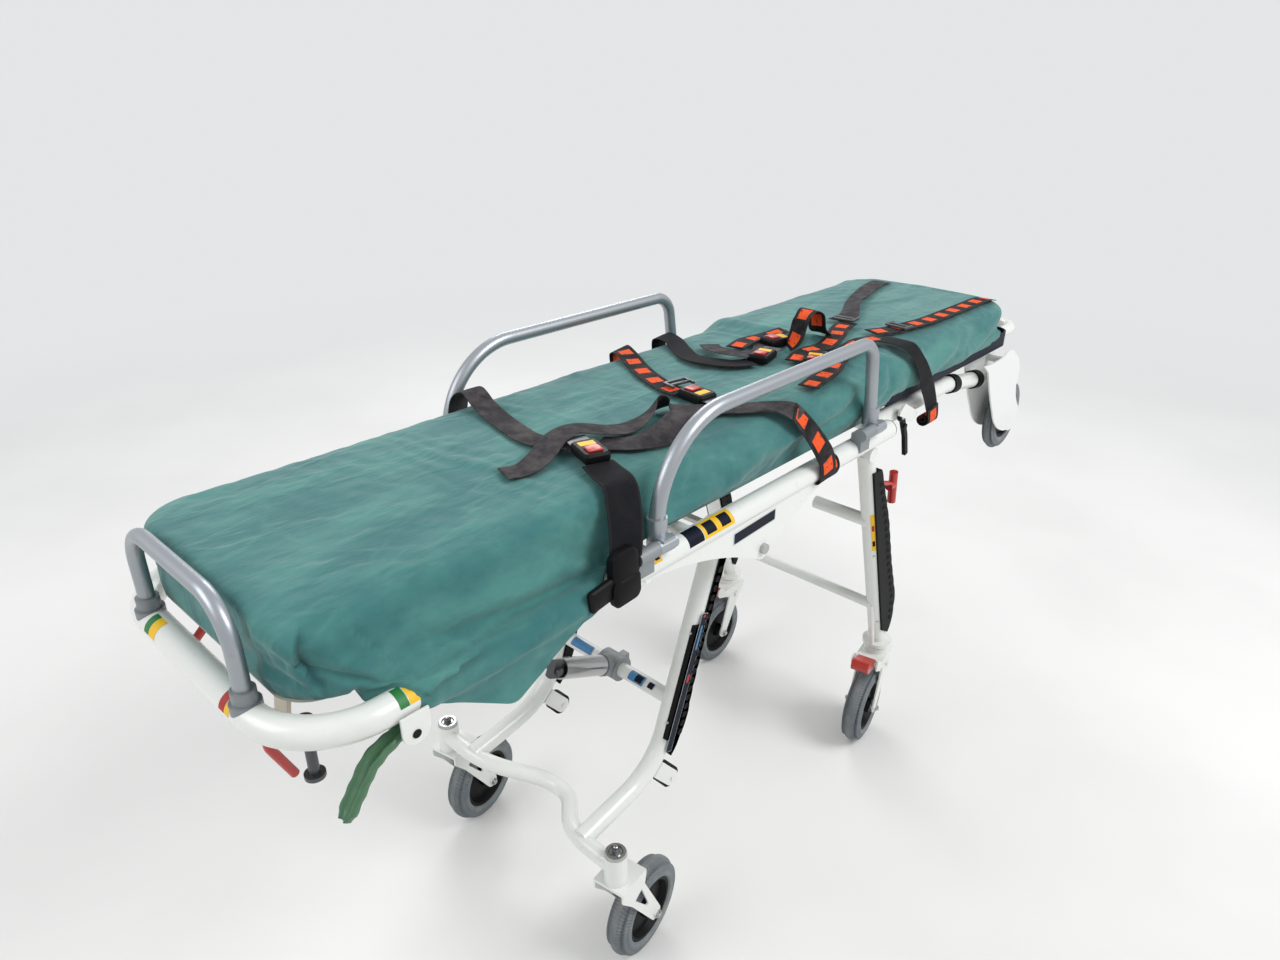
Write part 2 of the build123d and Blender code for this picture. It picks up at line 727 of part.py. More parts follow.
def roller_blocks():
    blocks = []
    rollers = []
    apex, out = knee_apex()
    axle = apex + out * roller_reach
    knee = apex + out * leg_r / 2
    edge = Vector(-out.Y, out.X) * roller_cheek_half
    cheek_outline = make_face([
        Polyline(axle + edge, knee + edge, knee - edge, axle - edge),
        ThreePointArc(axle - edge, axle + out * roller_cheek_half, axle + edge),
    ])
    web_end = knee + out * roller_web
    web_outline = polygon(knee + edge, knee - edge, web_end - edge, web_end + edge)
    width = roller_w + 2 * (roller_cheek_t + running_gap)
    for sign, side in sides:
        y = sign * foot_leg_y
        block = plate_y(web_outline, y, width)
        for k in (-1, 1):
            block += plate_y(cheek_outline, y + k * (width - roller_cheek_t) / 2, roller_cheek_t)
        block += across(axle.X, y - width / 2 - 3, y + width / 2 + 3, axle.Y, roller_pin_r)
        blocks.append(block - foot_leg_tube(y))
        roller = across(axle.X, y - roller_w / 2, y + roller_w / 2, axle.Y, roller_r)
        rollers.append(roller - across(axle.X, y - roller_w, y + roller_w, axle.Y, roller_pin_r + pin_gap))
    save("roller_blocks", *blocks)
    save("roller_tyres", *rollers)


# Lock strut from the foot legs' cross tube toward the frame: a clamp round the tube and a steel sleeve
strut_rise = 26.0
strut_clamp_w = 52.0
strut_clamp_r = 27.0
strut_sleeve_d = 43.0
strut_sleeve = (40.0, 166.0)
strut_wall = 3.0
strut_plug_l = 30.0
strut_tongue_l = 26.0
strut_tongue_t = 18.0
strut_bolt_d = 16.0
strut_bolt_half = 17.0
strut_slot = 900.0


def lock_strut():
    x = on_foot_leg(foot_cross_z)
    axis = Vector(-cos(radians(strut_rise)), 0, sin(radians(strut_rise)))
    centre = at(x, 0, foot_cross_z)
    clamp = across(x, -strut_clamp_w / 2, strut_clamp_w / 2, foot_cross_z, strut_clamp_r)
    neck = rod(centre, centre + axis * strut_sleeve[0], strut_sleeve_d / 2 + 2)
    bore = across(x, -strut_clamp_w, strut_clamp_w, foot_cross_z, foot_cross_d / 2 + soft_gap)
    ear = box_at(x + strut_clamp_r, 0, foot_cross_z, 26, 18, 24)
    save("strut_clamp", clamp + neck + ear - bore)
    start = centre + axis * strut_sleeve[0]
    end = centre + axis * strut_sleeve[1]
    plug_r = strut_sleeve_d / 2 - strut_wall
    plug_start = end - axis * strut_plug_l
    save("strut_sleeve", rod(start, end, strut_sleeve_d / 2) - rod(plug_start, end, plug_r))
    tongue = rod(plug_start, end + axis * strut_tongue_l, plug_r)
    for k in (-1, 1):
        tongue -= box_at(x, k * (strut_tongue_t / 2 + through / 2), foot_cross_z, strut_slot, through, strut_slot)
    eye = end + axis * 14
    bolt = Vector(0, strut_bolt_half, 0)
    tongue += rod(eye - bolt, eye + bolt, strut_bolt_d / 2)
    save("strut_eye", tongue)


# Side guards: a bent tube on two knuckles that turn about barrels beside the rail
guard_d = 26.0
guard_y = 267.0
guard_top_z = 1128.0
guard_foot = 604.0
guard_head = 1264.0
guard_lean = 26.0
knuckle_z = 948.0
guard_root_z = knuckle_z + 10
guard_post = 12.0
guard_foot_r = guard_top_z - guard_root_z - guard_post
guard_head_r = 50.0
knuckle_top_z = 985.0
knuckle_d = 34.0
barrel_y = 285.0
barrel_z = 943.0
barrel_d = 24.0
barrel_pin_d = 10.0
barrel_half = 20.0
grip_l = 44.0
hinge_gap = 0.5


def guard(sign, side):
    y = sign * guard_y
    points = [
        at(guard_foot, y, guard_root_z),
        at(guard_foot, y, guard_top_z),
        at(guard_head - guard_lean, y, guard_top_z),
        at(guard_head, y, guard_root_z),
    ]
    frame = bent_tube(points, [guard_foot_r, guard_head_r], guard_d / 2)
    hinge = sign * barrel_y
    for station in (guard_foot, guard_head):
        frame += rod(at(station, y, knuckle_z), at(station, y, knuckle_top_z), knuckle_d / 2)
        frame += box_at(station, (y + hinge) / 2, barrel_z + 2, 28, barrel_y - guard_y + 18, barrel_d - 2)
        barrel = at(station - barrel_half, hinge, barrel_z)
        frame += rod(barrel, barrel + Vector(2 * barrel_half, 0, 0), barrel_d / 2)
    for station in (guard_foot, guard_head):
        reach = barrel_half + 4
        bore_r = barrel_pin_d / 2 + pin_gap
        frame -= rod(at(station - reach, hinge, barrel_z), at(station + reach, hinge, barrel_z), bore_r)
    save(f"guard_{side}", frame)


def guard_mount(sign, station):
    """Block on the rail, a grip toward the foot end and the pin through the guard's knuckle."""
    hinge = sign * barrel_y
    b = station - barrel_half - hinge_gap
    a = b - grip_l
    block = rod(at(a, hinge, barrel_z), at(b, hinge, barrel_z), barrel_d / 2)
    web = box_at((a + b) / 2, sign * (rail_y + barrel_y) / 2, (rail_z + barrel_z) / 2, grip_l - 8,
                 barrel_y - rail_y, barrel_z - rail_z)
    pin = rod(at(b, hinge, barrel_z), at(station + barrel_half + 2, hinge, barrel_z), barrel_pin_d / 2)
    return block + web + pin - rail_cutter(sign * rail_y)


def guards():
    mounts = []
    for sign, side in sides:
        guard(sign, side)
        for station in (guard_foot, guard_head):
            mounts.append(guard_mount(sign, station))
    save("guard_mounts", *mounts)


# Docking stud under the loop's near corner, on a lug welded to the tube
stud = (44.0, -196.0)
stud_d = 14.0
stud_z = 808.0
stud_flange_d = 27.0
stud_flange_t = 6.0
stud_collar_r = 11.0
stud_lug_r = 9.0


def docking_stud():
    x, y = stud
    top = rail_z - 4
    foot = at(x, y, rail_z - 14)
    pin = rod(at(x, y, stud_z), at(x, y, top), stud_d / 2)
    flange = rod(at(x, y, stud_z), at(x, y, stud_z + stud_flange_t), stud_flange_d / 2)
    ring = rod(foot, at(x, y, top), stud_collar_r)
    corner = at(loop_bend_r, loop_bend_r - rail_y, rail_z - 14)
    arm = (foot - corner).normalized() * loop_bend_r
    save("docking_stud", pin + flange + ring + rod(foot, corner + arm, stud_lug_r) - loop_tube())


# Release levers: two red ones that hang from the foot cross tube, and the head end's latch
lever_y = 120.0
lever_w = 20.0
lever_r = 6.5
lever_clamp_r = 18.0
lever_clamp_open = 6.0
# Middle line of a red lever as (station, z)
lever_line = ((136.0, 906.0), (74.0, 893.0), (38.0, 861.0), (20.0, 826.0), (48.0, 759.0))
lever_bends = (40.0, 30.0, 24.0)


def levers():
    clamps = []
    bar = bent_tube([at(station, 0, z) for station, z in lever_line], lever_bends, lever_r)
    station, d = lever_tube
    z = panel_z - d / 2
    for sign, side in sides:
        y = sign * lever_y
        clamp = across(station, y - lever_w / 2, y + lever_w / 2, z, lever_clamp_r)
        cut_z = panel_z - lever_clamp_open + lever_clamp_r
        cut = box_at(station, y, cut_z, 3 * lever_clamp_r, 2 * lever_w, 2 * lever_clamp_r)
        clamps.append(clamp + Pos(0, y, 0) * bar - cut - cross_tube(*lever_tube))
    save("levers_red", *clamps)


latch_plate_y = -253.5
latch_t = 6.0
latch_plate = ((1445.0, 938.0), (1516.0, 901.0), (1494.0, 882.0), (1418.0, 918.0))
latch_pivot = (1458.0, 904.0)
latch_boss_r = 8.0
latch_lever_w = 9.0
latch_lever_t = 12.0
latch_line = ((1462.0, 892.0), (1484.0, 850.0), (1500.0, 797.0))
latch_button = (1469.0, 876.0, 7.0)


def head_latch():
    """Plate beside the near loading tube on a boss, with a curved lever that hangs on the boss."""
    inner = latch_plate_y + latch_t / 2
    station, z = latch_pivot
    plate = plate_y(fillet(polygon(*latch_plate).vertices(), latch_t), latch_plate_y, latch_t)
    tube_end = at(load_bend[0], -load_tube_y, load_tube_z)
    tube = rod(at(load_start, -load_tube_y, load_tube_z), tube_end, load_tube_d / 2)
    save("head_latch", plate + across(station, inner, -load_tube_y, z, latch_boss_r) - tube)
    middle = inner + running_gap + latch_lever_w / 2
    path = FilletPolyline(*[at(x, middle, h) for x, h in latch_line], radius=60)
    section = Plane(origin=path @ 0, z_dir=path % 0, x_dir=(0, 1, 0)) * Rectangle(latch_lever_w, latch_lever_t)
    lever = sweep(section, path=path)
    lever += across(station, middle - latch_lever_w / 2, middle + latch_lever_w / 2, z, latch_boss_r + 6)
    lever -= across(station, middle - latch_t, middle + latch_t, z, latch_boss_r + pin_gap)
    x, h, r = latch_button
    save("latch_lever", lever + across(x, middle - latch_lever_w / 2 - 3, middle, h, r))


frame_tubes()
foot_handle()
gussets()
cross_members()
mattress()
back_mattress()
backrest()
carriage()
for row in casters:
    caster(*row)
head_legs()
head_strips()
save("head_t_grip", t_grip())
foot_legs()
foot_strips()
roller_blocks()
lock_strut()
guards()
docking_stud()
levers()
head_latch()
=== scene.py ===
import json
import math

import bmesh
import bpy
import numpy as np
from mathutils import Matrix, Vector, noise

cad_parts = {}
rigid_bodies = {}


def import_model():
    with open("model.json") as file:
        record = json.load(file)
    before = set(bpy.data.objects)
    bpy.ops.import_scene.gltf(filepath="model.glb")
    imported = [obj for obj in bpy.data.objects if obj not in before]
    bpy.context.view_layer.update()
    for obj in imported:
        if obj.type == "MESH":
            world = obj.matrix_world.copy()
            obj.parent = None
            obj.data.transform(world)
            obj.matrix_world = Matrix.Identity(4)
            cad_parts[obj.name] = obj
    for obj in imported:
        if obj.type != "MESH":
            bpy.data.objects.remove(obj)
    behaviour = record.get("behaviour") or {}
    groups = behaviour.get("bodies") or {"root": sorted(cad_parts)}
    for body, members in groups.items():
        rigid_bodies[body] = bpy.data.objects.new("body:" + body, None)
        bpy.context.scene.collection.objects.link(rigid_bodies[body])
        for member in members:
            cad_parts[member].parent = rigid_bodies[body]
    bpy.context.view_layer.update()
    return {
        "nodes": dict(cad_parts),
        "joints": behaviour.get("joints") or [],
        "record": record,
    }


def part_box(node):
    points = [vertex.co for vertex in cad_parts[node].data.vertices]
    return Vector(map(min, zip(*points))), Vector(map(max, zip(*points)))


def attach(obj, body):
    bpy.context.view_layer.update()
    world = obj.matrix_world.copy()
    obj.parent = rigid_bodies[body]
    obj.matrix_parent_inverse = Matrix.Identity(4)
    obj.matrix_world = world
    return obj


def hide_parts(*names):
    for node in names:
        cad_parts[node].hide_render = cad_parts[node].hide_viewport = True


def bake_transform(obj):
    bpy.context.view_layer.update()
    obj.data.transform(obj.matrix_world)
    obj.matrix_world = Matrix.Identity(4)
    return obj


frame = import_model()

joints = {joint["child"]: joint for joint in frame["joints"]}
jointAt = {body: Vector(joint["pos_m"]) for body, joint in joints.items()}
print("stage: frame loaded,", len(frame["nodes"]), "nodes")


# Shader wires: arithmetic on a wire adds its Math nodes
class Wire:
    def __init__(self, board, socket):
        self.board = board
        self.socket = socket

    def math(self, operation, *others):
        values = dict(enumerate((self,) + others))
        return self.board.node("ShaderNodeMath", {"operation": operation}, values)

    def __add__(self, other):
        return self.math("ADD", other)

    __radd__ = __add__

    def __sub__(self, other):
        return self.math("SUBTRACT", other)

    def __rsub__(self, other):
        return (self * -1.0) + other

    def __mul__(self, other):
        return self.math("MULTIPLY", other)

    __rmul__ = __mul__

    def __truediv__(self, other):
        return self.math("DIVIDE", other)

    def sine(self):
        return self.math("SINE")

    def size(self):
        return self.math("ABSOLUTE")

    def least(self, other):
        return self.math("MINIMUM", other)

    def most(self, other):
        return self.math("MAXIMUM", other)

    def between(self, low, high):  # 0 below low, 1 above high, smooth in the middle
        values = {"Value": self, "From Min": low, "From Max": high}
        return self.board.node("ShaderNodeMapRange", {"interpolation_type": "SMOOTHSTEP"}, values)

    def part(self, axis):
        return self.board.node("ShaderNodeSeparateXYZ", {}, {0: self}, out=axis)


class Board:  # the node tree of one material, or of the world
    def __init__(self, owner):
        owner.use_nodes = True
        self.owner = owner
        self.nodes = owner.node_tree.nodes
        self.links = owner.node_tree.links
        self.nodes.clear()

    def node(self, kind, settings=None, values=None, out=0):
        made = self.nodes.new(kind)
        for key, value in (settings or {}).items():
            setattr(made, key, value)
        for key, value in (values or {}).items():
            if isinstance(value, Wire):
                self.links.new(value.socket, made.inputs[key])
            else:
                made.inputs[key].default_value = value
        return Wire(self, made.outputs[out]) if made.outputs else None

    def attribute(self, name, out):
        return self.node("ShaderNodeAttribute", {"attribute_name": name}, out=out)

    def spot(self):
        return self.node("ShaderNodeTexCoord", out="Object")

    def stretched(self, scale):
        return self.node("ShaderNodeVectorMath", {"operation": "MULTIPLY"}, {0: self.spot(), 1: scale})

    def cloudy(self, scale, detail=3.0, rough=0.5, where=None):
        values = {"Vector": where or self.spot(), "Scale": scale, "Detail": detail, "Roughness": rough}
        return self.node("ShaderNodeTexNoise", {}, values)

    def tint(self, mask, low, high):
        return self.node("ShaderNodeMix", {"data_type": "RGBA"}, {0: mask, 6: low, 7: high}, out=2)

    def bump(self, height, depth, below=None):
        values = {"Height": height, "Distance": depth, "Strength": 1.0}
        if below is not None:
            values["Normal"] = below
        return self.node("ShaderNodeBump", {}, values)

    def close(self, surface, output="ShaderNodeOutputMaterial"):
        self.node(output, {}, {"Surface": surface})
        return self.owner

    def finish(self, values):
        return self.close(self.node("ShaderNodeBsdfPrincipled", {}, values))


def shade(red, green, blue):  # a colour as a screen shows it, 0 to 255
    def linear(value):
        value = value / 255
        return value / 12.92 if value <= 0.04045 else ((value + 0.055) / 1.055) ** 2.4
    return (linear(red), linear(green), linear(blue), 1.0)


# Powder-coated and moulded finishes differ in their numbers alone
coatings = {
    "white_paint": {"base": (222, 224, 220), "grime": (176, 172, 160), "rough": 0.3, "grain": 160.0,
                    "depth": 0.00006, "coat": 0.35, "dirt": 0.45},
    "white_plastic": {"base": (224, 226, 224), "grime": (186, 184, 176), "rough": 0.42, "grain": 420.0,
                      "depth": 0.00005, "coat": 0.1, "dirt": 0.35},
    "satin_tube": {"base": (163, 168, 173), "grime": (128, 131, 134), "rough": 0.36, "grain": 300.0,
                   "depth": 0.00002, "metal": 0.75, "dirt": 0.4},
    "grey_casting": {"base": (134, 139, 142), "grime": (92, 94, 95), "rough": 0.5, "grain": 520.0,
                     "depth": 0.00012, "metal": 0.25, "dirt": 0.5},
    "bright_steel": {"base": (178, 178, 178), "grime": (146, 143, 139), "rough": 0.22, "grain": 600.0,
                     "depth": 0.000004, "metal": 1.0, "dirt": 0.15},
    "dark_steel": {"base": (88, 89, 92), "grime": (60, 56, 52), "rough": 0.38, "grain": 500.0,
                   "depth": 0.00004, "metal": 0.8, "dirt": 0.4},
    "navy_plastic": {"base": (26, 31, 42), "grime": (54, 57, 64), "rough": 0.48, "grain": 700.0,
                     "depth": 0.0001, "dirt": 0.35, "gloss": 0.12},
    "black_plastic": {"base": (18, 18, 20), "grime": (46, 45, 45), "rough": 0.44, "grain": 650.0,
                      "depth": 0.00008, "dirt": 0.35, "gloss": 0.12},
    "black_rubber": {"base": (13, 13, 15), "grime": (38, 38, 38), "rough": 0.52, "grain": 380.0,
                     "depth": 0.00012, "dirt": 0.5, "gloss": 0.12},
    "red_plastic": {"base": (176, 42, 34), "grime": (110, 40, 34), "rough": 0.34, "grain": 420.0,
                    "depth": 0.00004, "coat": 0.3, "dirt": 0.35},
    "green_lever": {"base": (58, 104, 70), "grime": (88, 116, 92), "rough": 0.42, "grain": 420.0,
                    "depth": 0.00005, "coat": 0.15, "dirt": 0.5},
    "cream_metal": {"base": (206, 198, 178), "grime": (150, 140, 120), "rough": 0.4, "grain": 240.0,
                    "depth": 0.00005, "coat": 0.1, "dirt": 0.5},
    "panel_grey": {"base": (164, 164, 156), "grime": (116, 113, 104), "rough": 0.5, "grain": 300.0,
                   "depth": 0.00005, "dirt": 0.5},
    "label_yellow": {"base": (232, 184, 8), "grime": (196, 160, 40), "rough": 0.5, "grain": 900.0,
                     "depth": 0.00001, "dirt": 0.3},
    "label_navy": {"base": (12, 18, 34), "grime": (30, 38, 54), "rough": 0.4, "grain": 900.0,
                   "depth": 0.00001, "dirt": 0.3, "gloss": 0.12},
    "label_green": {"base": (22, 112, 52), "grime": (60, 120, 70), "rough": 0.5, "grain": 900.0,
                    "depth": 0.00001, "dirt": 0.3},
    "label_red": {"base": (166, 24, 20), "grime": (120, 40, 36), "rough": 0.5, "grain": 900.0,
                  "depth": 0.00001, "dirt": 0.3},
    "label_blue": {"base": (56, 120, 168), "grime": (120, 150, 168), "rough": 0.45, "grain": 900.0,
                   "depth": 0.00001, "dirt": 0.3},
    "label_pale": {"base": (190, 198, 202), "grime": (150, 152, 150), "rough": 0.45, "grain": 900.0,
                   "depth": 0.00001, "dirt": 0.3},
}


def coated(name, base, grime, rough, grain, depth, dirt, metal=0.0, coat=0.0, gloss=0.5):
    board = Board(bpy.data.materials.new(name))
    broad = board.cloudy(5.0, 4.0, 0.62)
    specks = board.cloudy(95.0, 2.0, 0.7)
    marks = (broad.between(0.5, 0.78) * 0.6 + specks.between(0.62, 0.74) * 0.4) * dirt
    fine = board.cloudy(grain, 2.0)
    scratch = board.cloudy(60.0, 3.0, 0.7, board.stretched((1.0, 14.0, 9.0))).between(0.66, 0.72)
    return board.finish({
        "Base Color": board.tint(marks, shade(*base), shade(*grime)),
        "Metallic": metal,
        "Roughness": (marks * 0.35 + scratch * 0.12 + rough).least(1.0),
        "Specular IOR Level": gloss,
        "Coat Weight": coat,
        "Coat Roughness": 0.12,
        "Normal": board.bump(fine - scratch * 0.3, depth),
    })


# Non-woven sheet: pressed fibres, fine crazing and soft broad creases, tinted from a painted shaded teal to
# a painted lit teal so that what stands up is painted lighter, and a line of painted shade in each pressed
# fold
clothLook = {
    # deep is a painted shaded teal, pale a painted lit teal, fold the painted shade in the pressed folds
    "deep": (34, 94, 98), "pale": (84, 140, 132), "fold": (12, 44, 50),
    "rough": 0.84, "gloss": 0.3, "sheen": 0.2,
    "fibre": 900.0, "craze": 17.0, "crease": 6.0, "ridge": 4.5, "mottle": 48.0,  # how fine each pattern is
    "creaseDepth": 0.005, "crazeDepth": 0.0005, "fibreDepth": 0.00018, "bend": 0.09,
}


def sheetCloth():
    board = Board(bpy.data.materials.new("sheet_cloth"))
    drift = board.node("ShaderNodeTexNoise", {}, {"Vector": board.spot(), "Scale": 5.0, "Detail": 3.0},
                       out="Color")
    bent = board.node("ShaderNodeVectorMath", {"operation": "MULTIPLY_ADD"},
                      {0: drift, 1: (clothLook["bend"],) * 3, 2: board.stretched((0.55, 1.0, 1.0))})
    craze = board.node("ShaderNodeTexVoronoi", {"feature": "DISTANCE_TO_EDGE"},
                       {"Vector": bent, "Scale": clothLook["craze"], "Randomness": 1.0})
    patchy = board.cloudy(9.0, 3.0).between(0.46, 0.66)
    lines = (1.0 - craze.between(0.0, 0.09)) * patchy
    crease = board.cloudy(clothLook["crease"], 6.0, 0.62, board.stretched((0.8, 2.2, 1.6)))
    drawn = board.cloudy(clothLook["ridge"], 4.0, 0.55, board.stretched((0.7, 1.8, 1.3))) - 0.5
    ridge = 1.0 - drawn.size().between(0.0, 0.07)
    fibre = board.cloudy(clothLook["fibre"], 2.0, 0.7)
    mottle = board.cloudy(clothLook["mottle"], 3.0, 0.6)
    # the crease, ridge, crazing and fibre heights that raise the bumps also paint the cloth lighter: painted
    # light; the mottle is the cloth's own tone
    wearAndPaintedLight = crease.between(0.36, 0.72) * 0.5 + lines * 0.12 + ridge * 0.14 + fibre * 0.22 + mottle * 0.18
    cloth = board.tint(wearAndPaintedLight.least(1.0), shade(*clothLook["deep"]), shade(*clothLook["pale"]))
    broad = board.bump(crease + ridge * 0.25, clothLook["creaseDepth"])
    middle = board.bump(lines, clothLook["crazeDepth"], broad)
    return board.finish({
        # the fold attribute darkens the cloth along each pressed fold: painted shade
        "Base Color": board.tint(board.attribute("fold", "Fac") * 0.8, cloth, shade(*clothLook["fold"])),
        "Roughness": clothLook["rough"],
        "Specular IOR Level": clothLook["gloss"],
        "Sheen Weight": clothLook["sheen"],
        "Sheen Roughness": 0.5,
        "Normal": board.bump(fibre, clothLook["fibreDepth"], middle),
    })


# Webbing: tight cross ribs, a dusty bloom and, on the marked belts, plain orange bars
webLook = {"dark": (42, 40, 44), "black": (14, 15, 20), "dusty": (94, 88, 88), "orange": (232, 88, 40),
           "ribs": 1400.0, "ribDepth": 0.0003, "barPitch": 0.062,
           "rough": 0.82, "gloss": 0.18, "sheen": 0.02}


def webbing(name, dark, dusty, barred=False):
    board = Board(bpy.data.materials.new(name))
    run = board.attribute("run", "Vector")
    along = run.part("X")
    sideways = run.part("Y").size()
    ribs = (along * webLook["ribs"] * 2.0).sine() * 0.5 + 0.5
    bloom = board.cloudy(30.0, 4.0, 0.65).between(0.35, 0.7) * dusty
    edge = sideways.between(0.8, 0.95)
    colour = board.tint((bloom + edge * 0.1).least(1.0), shade(*webLook[dark]), shade(*webLook["dusty"]))
    if barred:
        beat = (along / webLook["barPitch"]).math("FRACT")
        thick = beat.between(0.1, 0.13) * (1.0 - beat.between(0.58, 0.61))
        inside = 1.0 - sideways.between(0.56, 0.62)
        wearAndPaintedLight = board.cloudy(120.0, 3.0, 0.7).between(0.28, 0.45)
        colour = board.tint(thick * inside * wearAndPaintedLight, colour, shade(*webLook["orange"]))
    return board.finish({
        "Base Color": colour,
        "Roughness": webLook["rough"],
        "Specular IOR Level": webLook["gloss"],
        "Sheen Weight": webLook["sheen"],
        "Normal": board.bump(ribs + board.cloudy(600.0) * 0.6, webLook["ribDepth"]),
    })


# Tyre rubber: fine cross cuts over the tread, painted darker as shade, and a dusty bloom, placed by the run
# along the tyre
rubberLook = {"base": (102, 111, 118), "grime": (138, 138, 132), "cut": 0.0078, "depth": 0.0016}


def tyreRubber():
    board = Board(bpy.data.materials.new("grey_tyre"))
    run = board.attribute("run", "Vector")
    across = run.part("Y").size()
    wave = (run.part("X") * (2 * math.pi / rubberLook["cut"]) + across * 5.0).sine().between(-0.35, 0.35)
    cuts = wave * across.between(0.3, 0.45) * (1.0 - across.between(1.15, 1.3))
    dusty = board.cloudy(26.0, 4.0, 0.65).between(0.35, 0.72) * 0.7
    # the bloom is pulled back in the cuts so that they show the darker base: painted shade in the grooves
    bloom = (dusty - cuts * 0.5).most(0.0) + 0.1
    return board.finish({
        "Base Color": board.tint(bloom, shade(*rubberLook["base"]), shade(*rubberLook["grime"])),
        "Roughness": dusty * 0.15 + 0.68,
        "Normal": board.bump(board.cloudy(420.0) * 0.12 - cuts, rubberLook["depth"]),
    })


finishes = {name: coated(name, **numbers) for name, numbers in coatings.items()}
finishes["grey_tyre"] = tyreRubber()
finishes["sheet_cloth"] = sheetCloth()
finishes["web_plain"] = webbing("web_plain", "dark", 0.6)
finishes["web_black"] = webbing("web_black", "black", 0.04)
finishes["web_barred"] = webbing("web_barred", "black", 0.25, barred=True)

nodeSlots = {part["node"]: part["material_slot"] for part in frame["record"]["subparts"]}
ownFinishes = {"seat_panel": "panel_grey", "docking_stud": "dark_steel"}  # the others have their slot's
for nodeName, node in frame["nodes"].items():
    for holder in node.material_slots:
        holder.material = finishes[ownFinishes.get(nodeName, nodeSlots[nodeName])]
print("stage: finishes,", len(finishes))


# Mesh helpers
def piece(name, points, faces, finish, body=None, smooth=True):
    mesh = bpy.data.meshes.new(name)
    mesh.from_pydata([tuple(point) for point in points], [], faces)
    mesh.materials.append(finishes[finish])
    mesh.polygons.foreach_set("use_smooth", [smooth] * len(mesh.polygons))
    mesh.update()
    obj = bpy.data.objects.new(name, mesh)
    bpy.context.scene.collection.objects.link(obj)
    if body:
        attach(obj, body)
    return obj


def modified(obj, kind, **settings):
    modifier = obj.modifiers.new(kind.lower(), kind)
    for key, value in settings.items():
        setattr(modifier, key, value)
    return modifier


def marked(obj, domain, runs):  # where each point or face corner lies, along and across, for its finish
    attribute = obj.data.attributes.new("run", "FLOAT_VECTOR", domain)
    attribute.data.foreach_set("vector", np.array(runs, np.float32).ravel())


def ringFaces(count, rows, start=0, flipped=False):  # a face at each end, then quads between rows of points
    last = start + (rows - 1) * count
    low, high = tuple(range(start, start + count)), tuple(range(last, last + count))
    faces = [low, high[::-1]] if flipped else [low[::-1], high]
    for row in range(start, last, count):
        for k in range(count):
            near = row + k
            side = row + (k + 1) % count
            faces.append((near, near + count, side + count, side) if flipped
                         else (near, side, side + count, near + count))
    return faces


def frameOf(axis, towards=(0, 0, 1)):  # two directions square to an axis, the first nearest to towards
    axis = Vector(axis).normalized()
    first = Vector(towards) - axis * axis.dot(Vector(towards))
    if first.length < 1e-6:
        first = axis.orthogonal()
    first.normalize()
    return first, axis.cross(first)


def around(first, second, turn):
    return first * math.cos(turn) + second * math.sin(turn)


def turned(base, axis, outline, steps):  # an outline of (along the axis, radius), turned about it
    axis = Vector(axis).normalized()
    first, second = frameOf(axis)
    return [Vector(base) + axis * along + around(first, second, 2 * math.pi * k / steps) * radius
            for along, radius in outline for k in range(steps)]


def lathed(name, spots, outline, finish, body, steps=48):
    # one mesh of equal turned fittings, one for each (base, axis) in spots
    points = []
    faces = []
    for base, axis in spots:
        faces += ringFaces(steps, len(outline), len(points))
        points += turned(base, axis, outline, steps)
    obj = piece(name, points, faces, finish, body)
    modified(obj, "EDGE_SPLIT", split_angle=math.radians(40))


def flatPart(name, outline, origin, across, up, thickness, finish, body, bevel=0.0008):
    # an outline of (across, up) points, as thick as given to both sides of its plane
    across = Vector(across).normalized()
    up = Vector(up).normalized()
    out = across.cross(up) * (thickness / 2)
    points = []
    for side in (-1, 1):
        points += [Vector(origin) + across * u + up * v + out * side for u, v in outline]
    obj = piece(name, points, ringFaces(len(outline), 2), finish, body, smooth=False)
    modified(obj, "BEVEL", width=bevel, segments=2, limit_method="ANGLE")


def roundedBox(half, corner, steps=5):
    outline = []
    for cx, cy, start in ((1, 1, 0), (-1, 1, 90), (-1, -1, 180), (1, -1, 270)):
        for k in range(steps + 1):
            turn = math.radians(start + 90 * k / steps)
            outline.append((cx * (half[0] - corner) + corner * math.cos(turn),
                            cy * (half[1] - corner) + corner * math.sin(turn)))
    return outline


def spline(points, steps):  # a smooth run through given points
    points = [np.array(point, float) for point in points]
    padded = [2 * points[0] - points[1]] + points + [2 * points[-1] - points[-2]]
    run = []
    for k in range(1, len(padded) - 2):
        a, b, c, d = padded[k - 1:k + 3]
        for step in range(steps):
            t = step / steps
            run.append(0.5 * (2 * b + (c - a) * t + (2 * a - 5 * b + 4 * c - d) * t * t
                              + (3 * b - a - 3 * c + d) * t ** 3))
    run.append(points[-1])
    return run


# Where the long soft parts rise from the seat to the backrest
seatLow, seatHigh = (Vector(corner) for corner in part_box("mattress_seat"))
foldLow, foldHigh = (Vector(corner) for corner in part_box("mattress_fold"))
backHigh = Vector(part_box("mattress_back")[1])


def bending(obj):
    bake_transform(obj)


def eased(value, low, high):
    share = np.clip((value - low) / (high - low), 0, 1)
    return share * share * (3 - 2 * share)


def lift(x):  # how far the mattress rises from the seat to the back
    return float((backHigh.z - seatHigh.z) * eased(x, foldLow.x - 0.03, foldLow.x + 0.05))


# Mattress pad: a crowned slab whose sides pull in a little, with a tucked under foot end
padLook = {
    "gap": 0.003,        # clearance inside the solids that it stands for
    "crown": 0.003,
    "waist": 0.003,
    "trim": 0.004,
    "footTuck": 0.012,   # how far the foot end's lower edge goes in, and over what length
    "tuckLength": 0.12,
    "corner": 0.082,
    "step": 0.012,
    "section": 48,       # points round it, and how square it is across and in height
    "square": (0.24, 0.3),
}


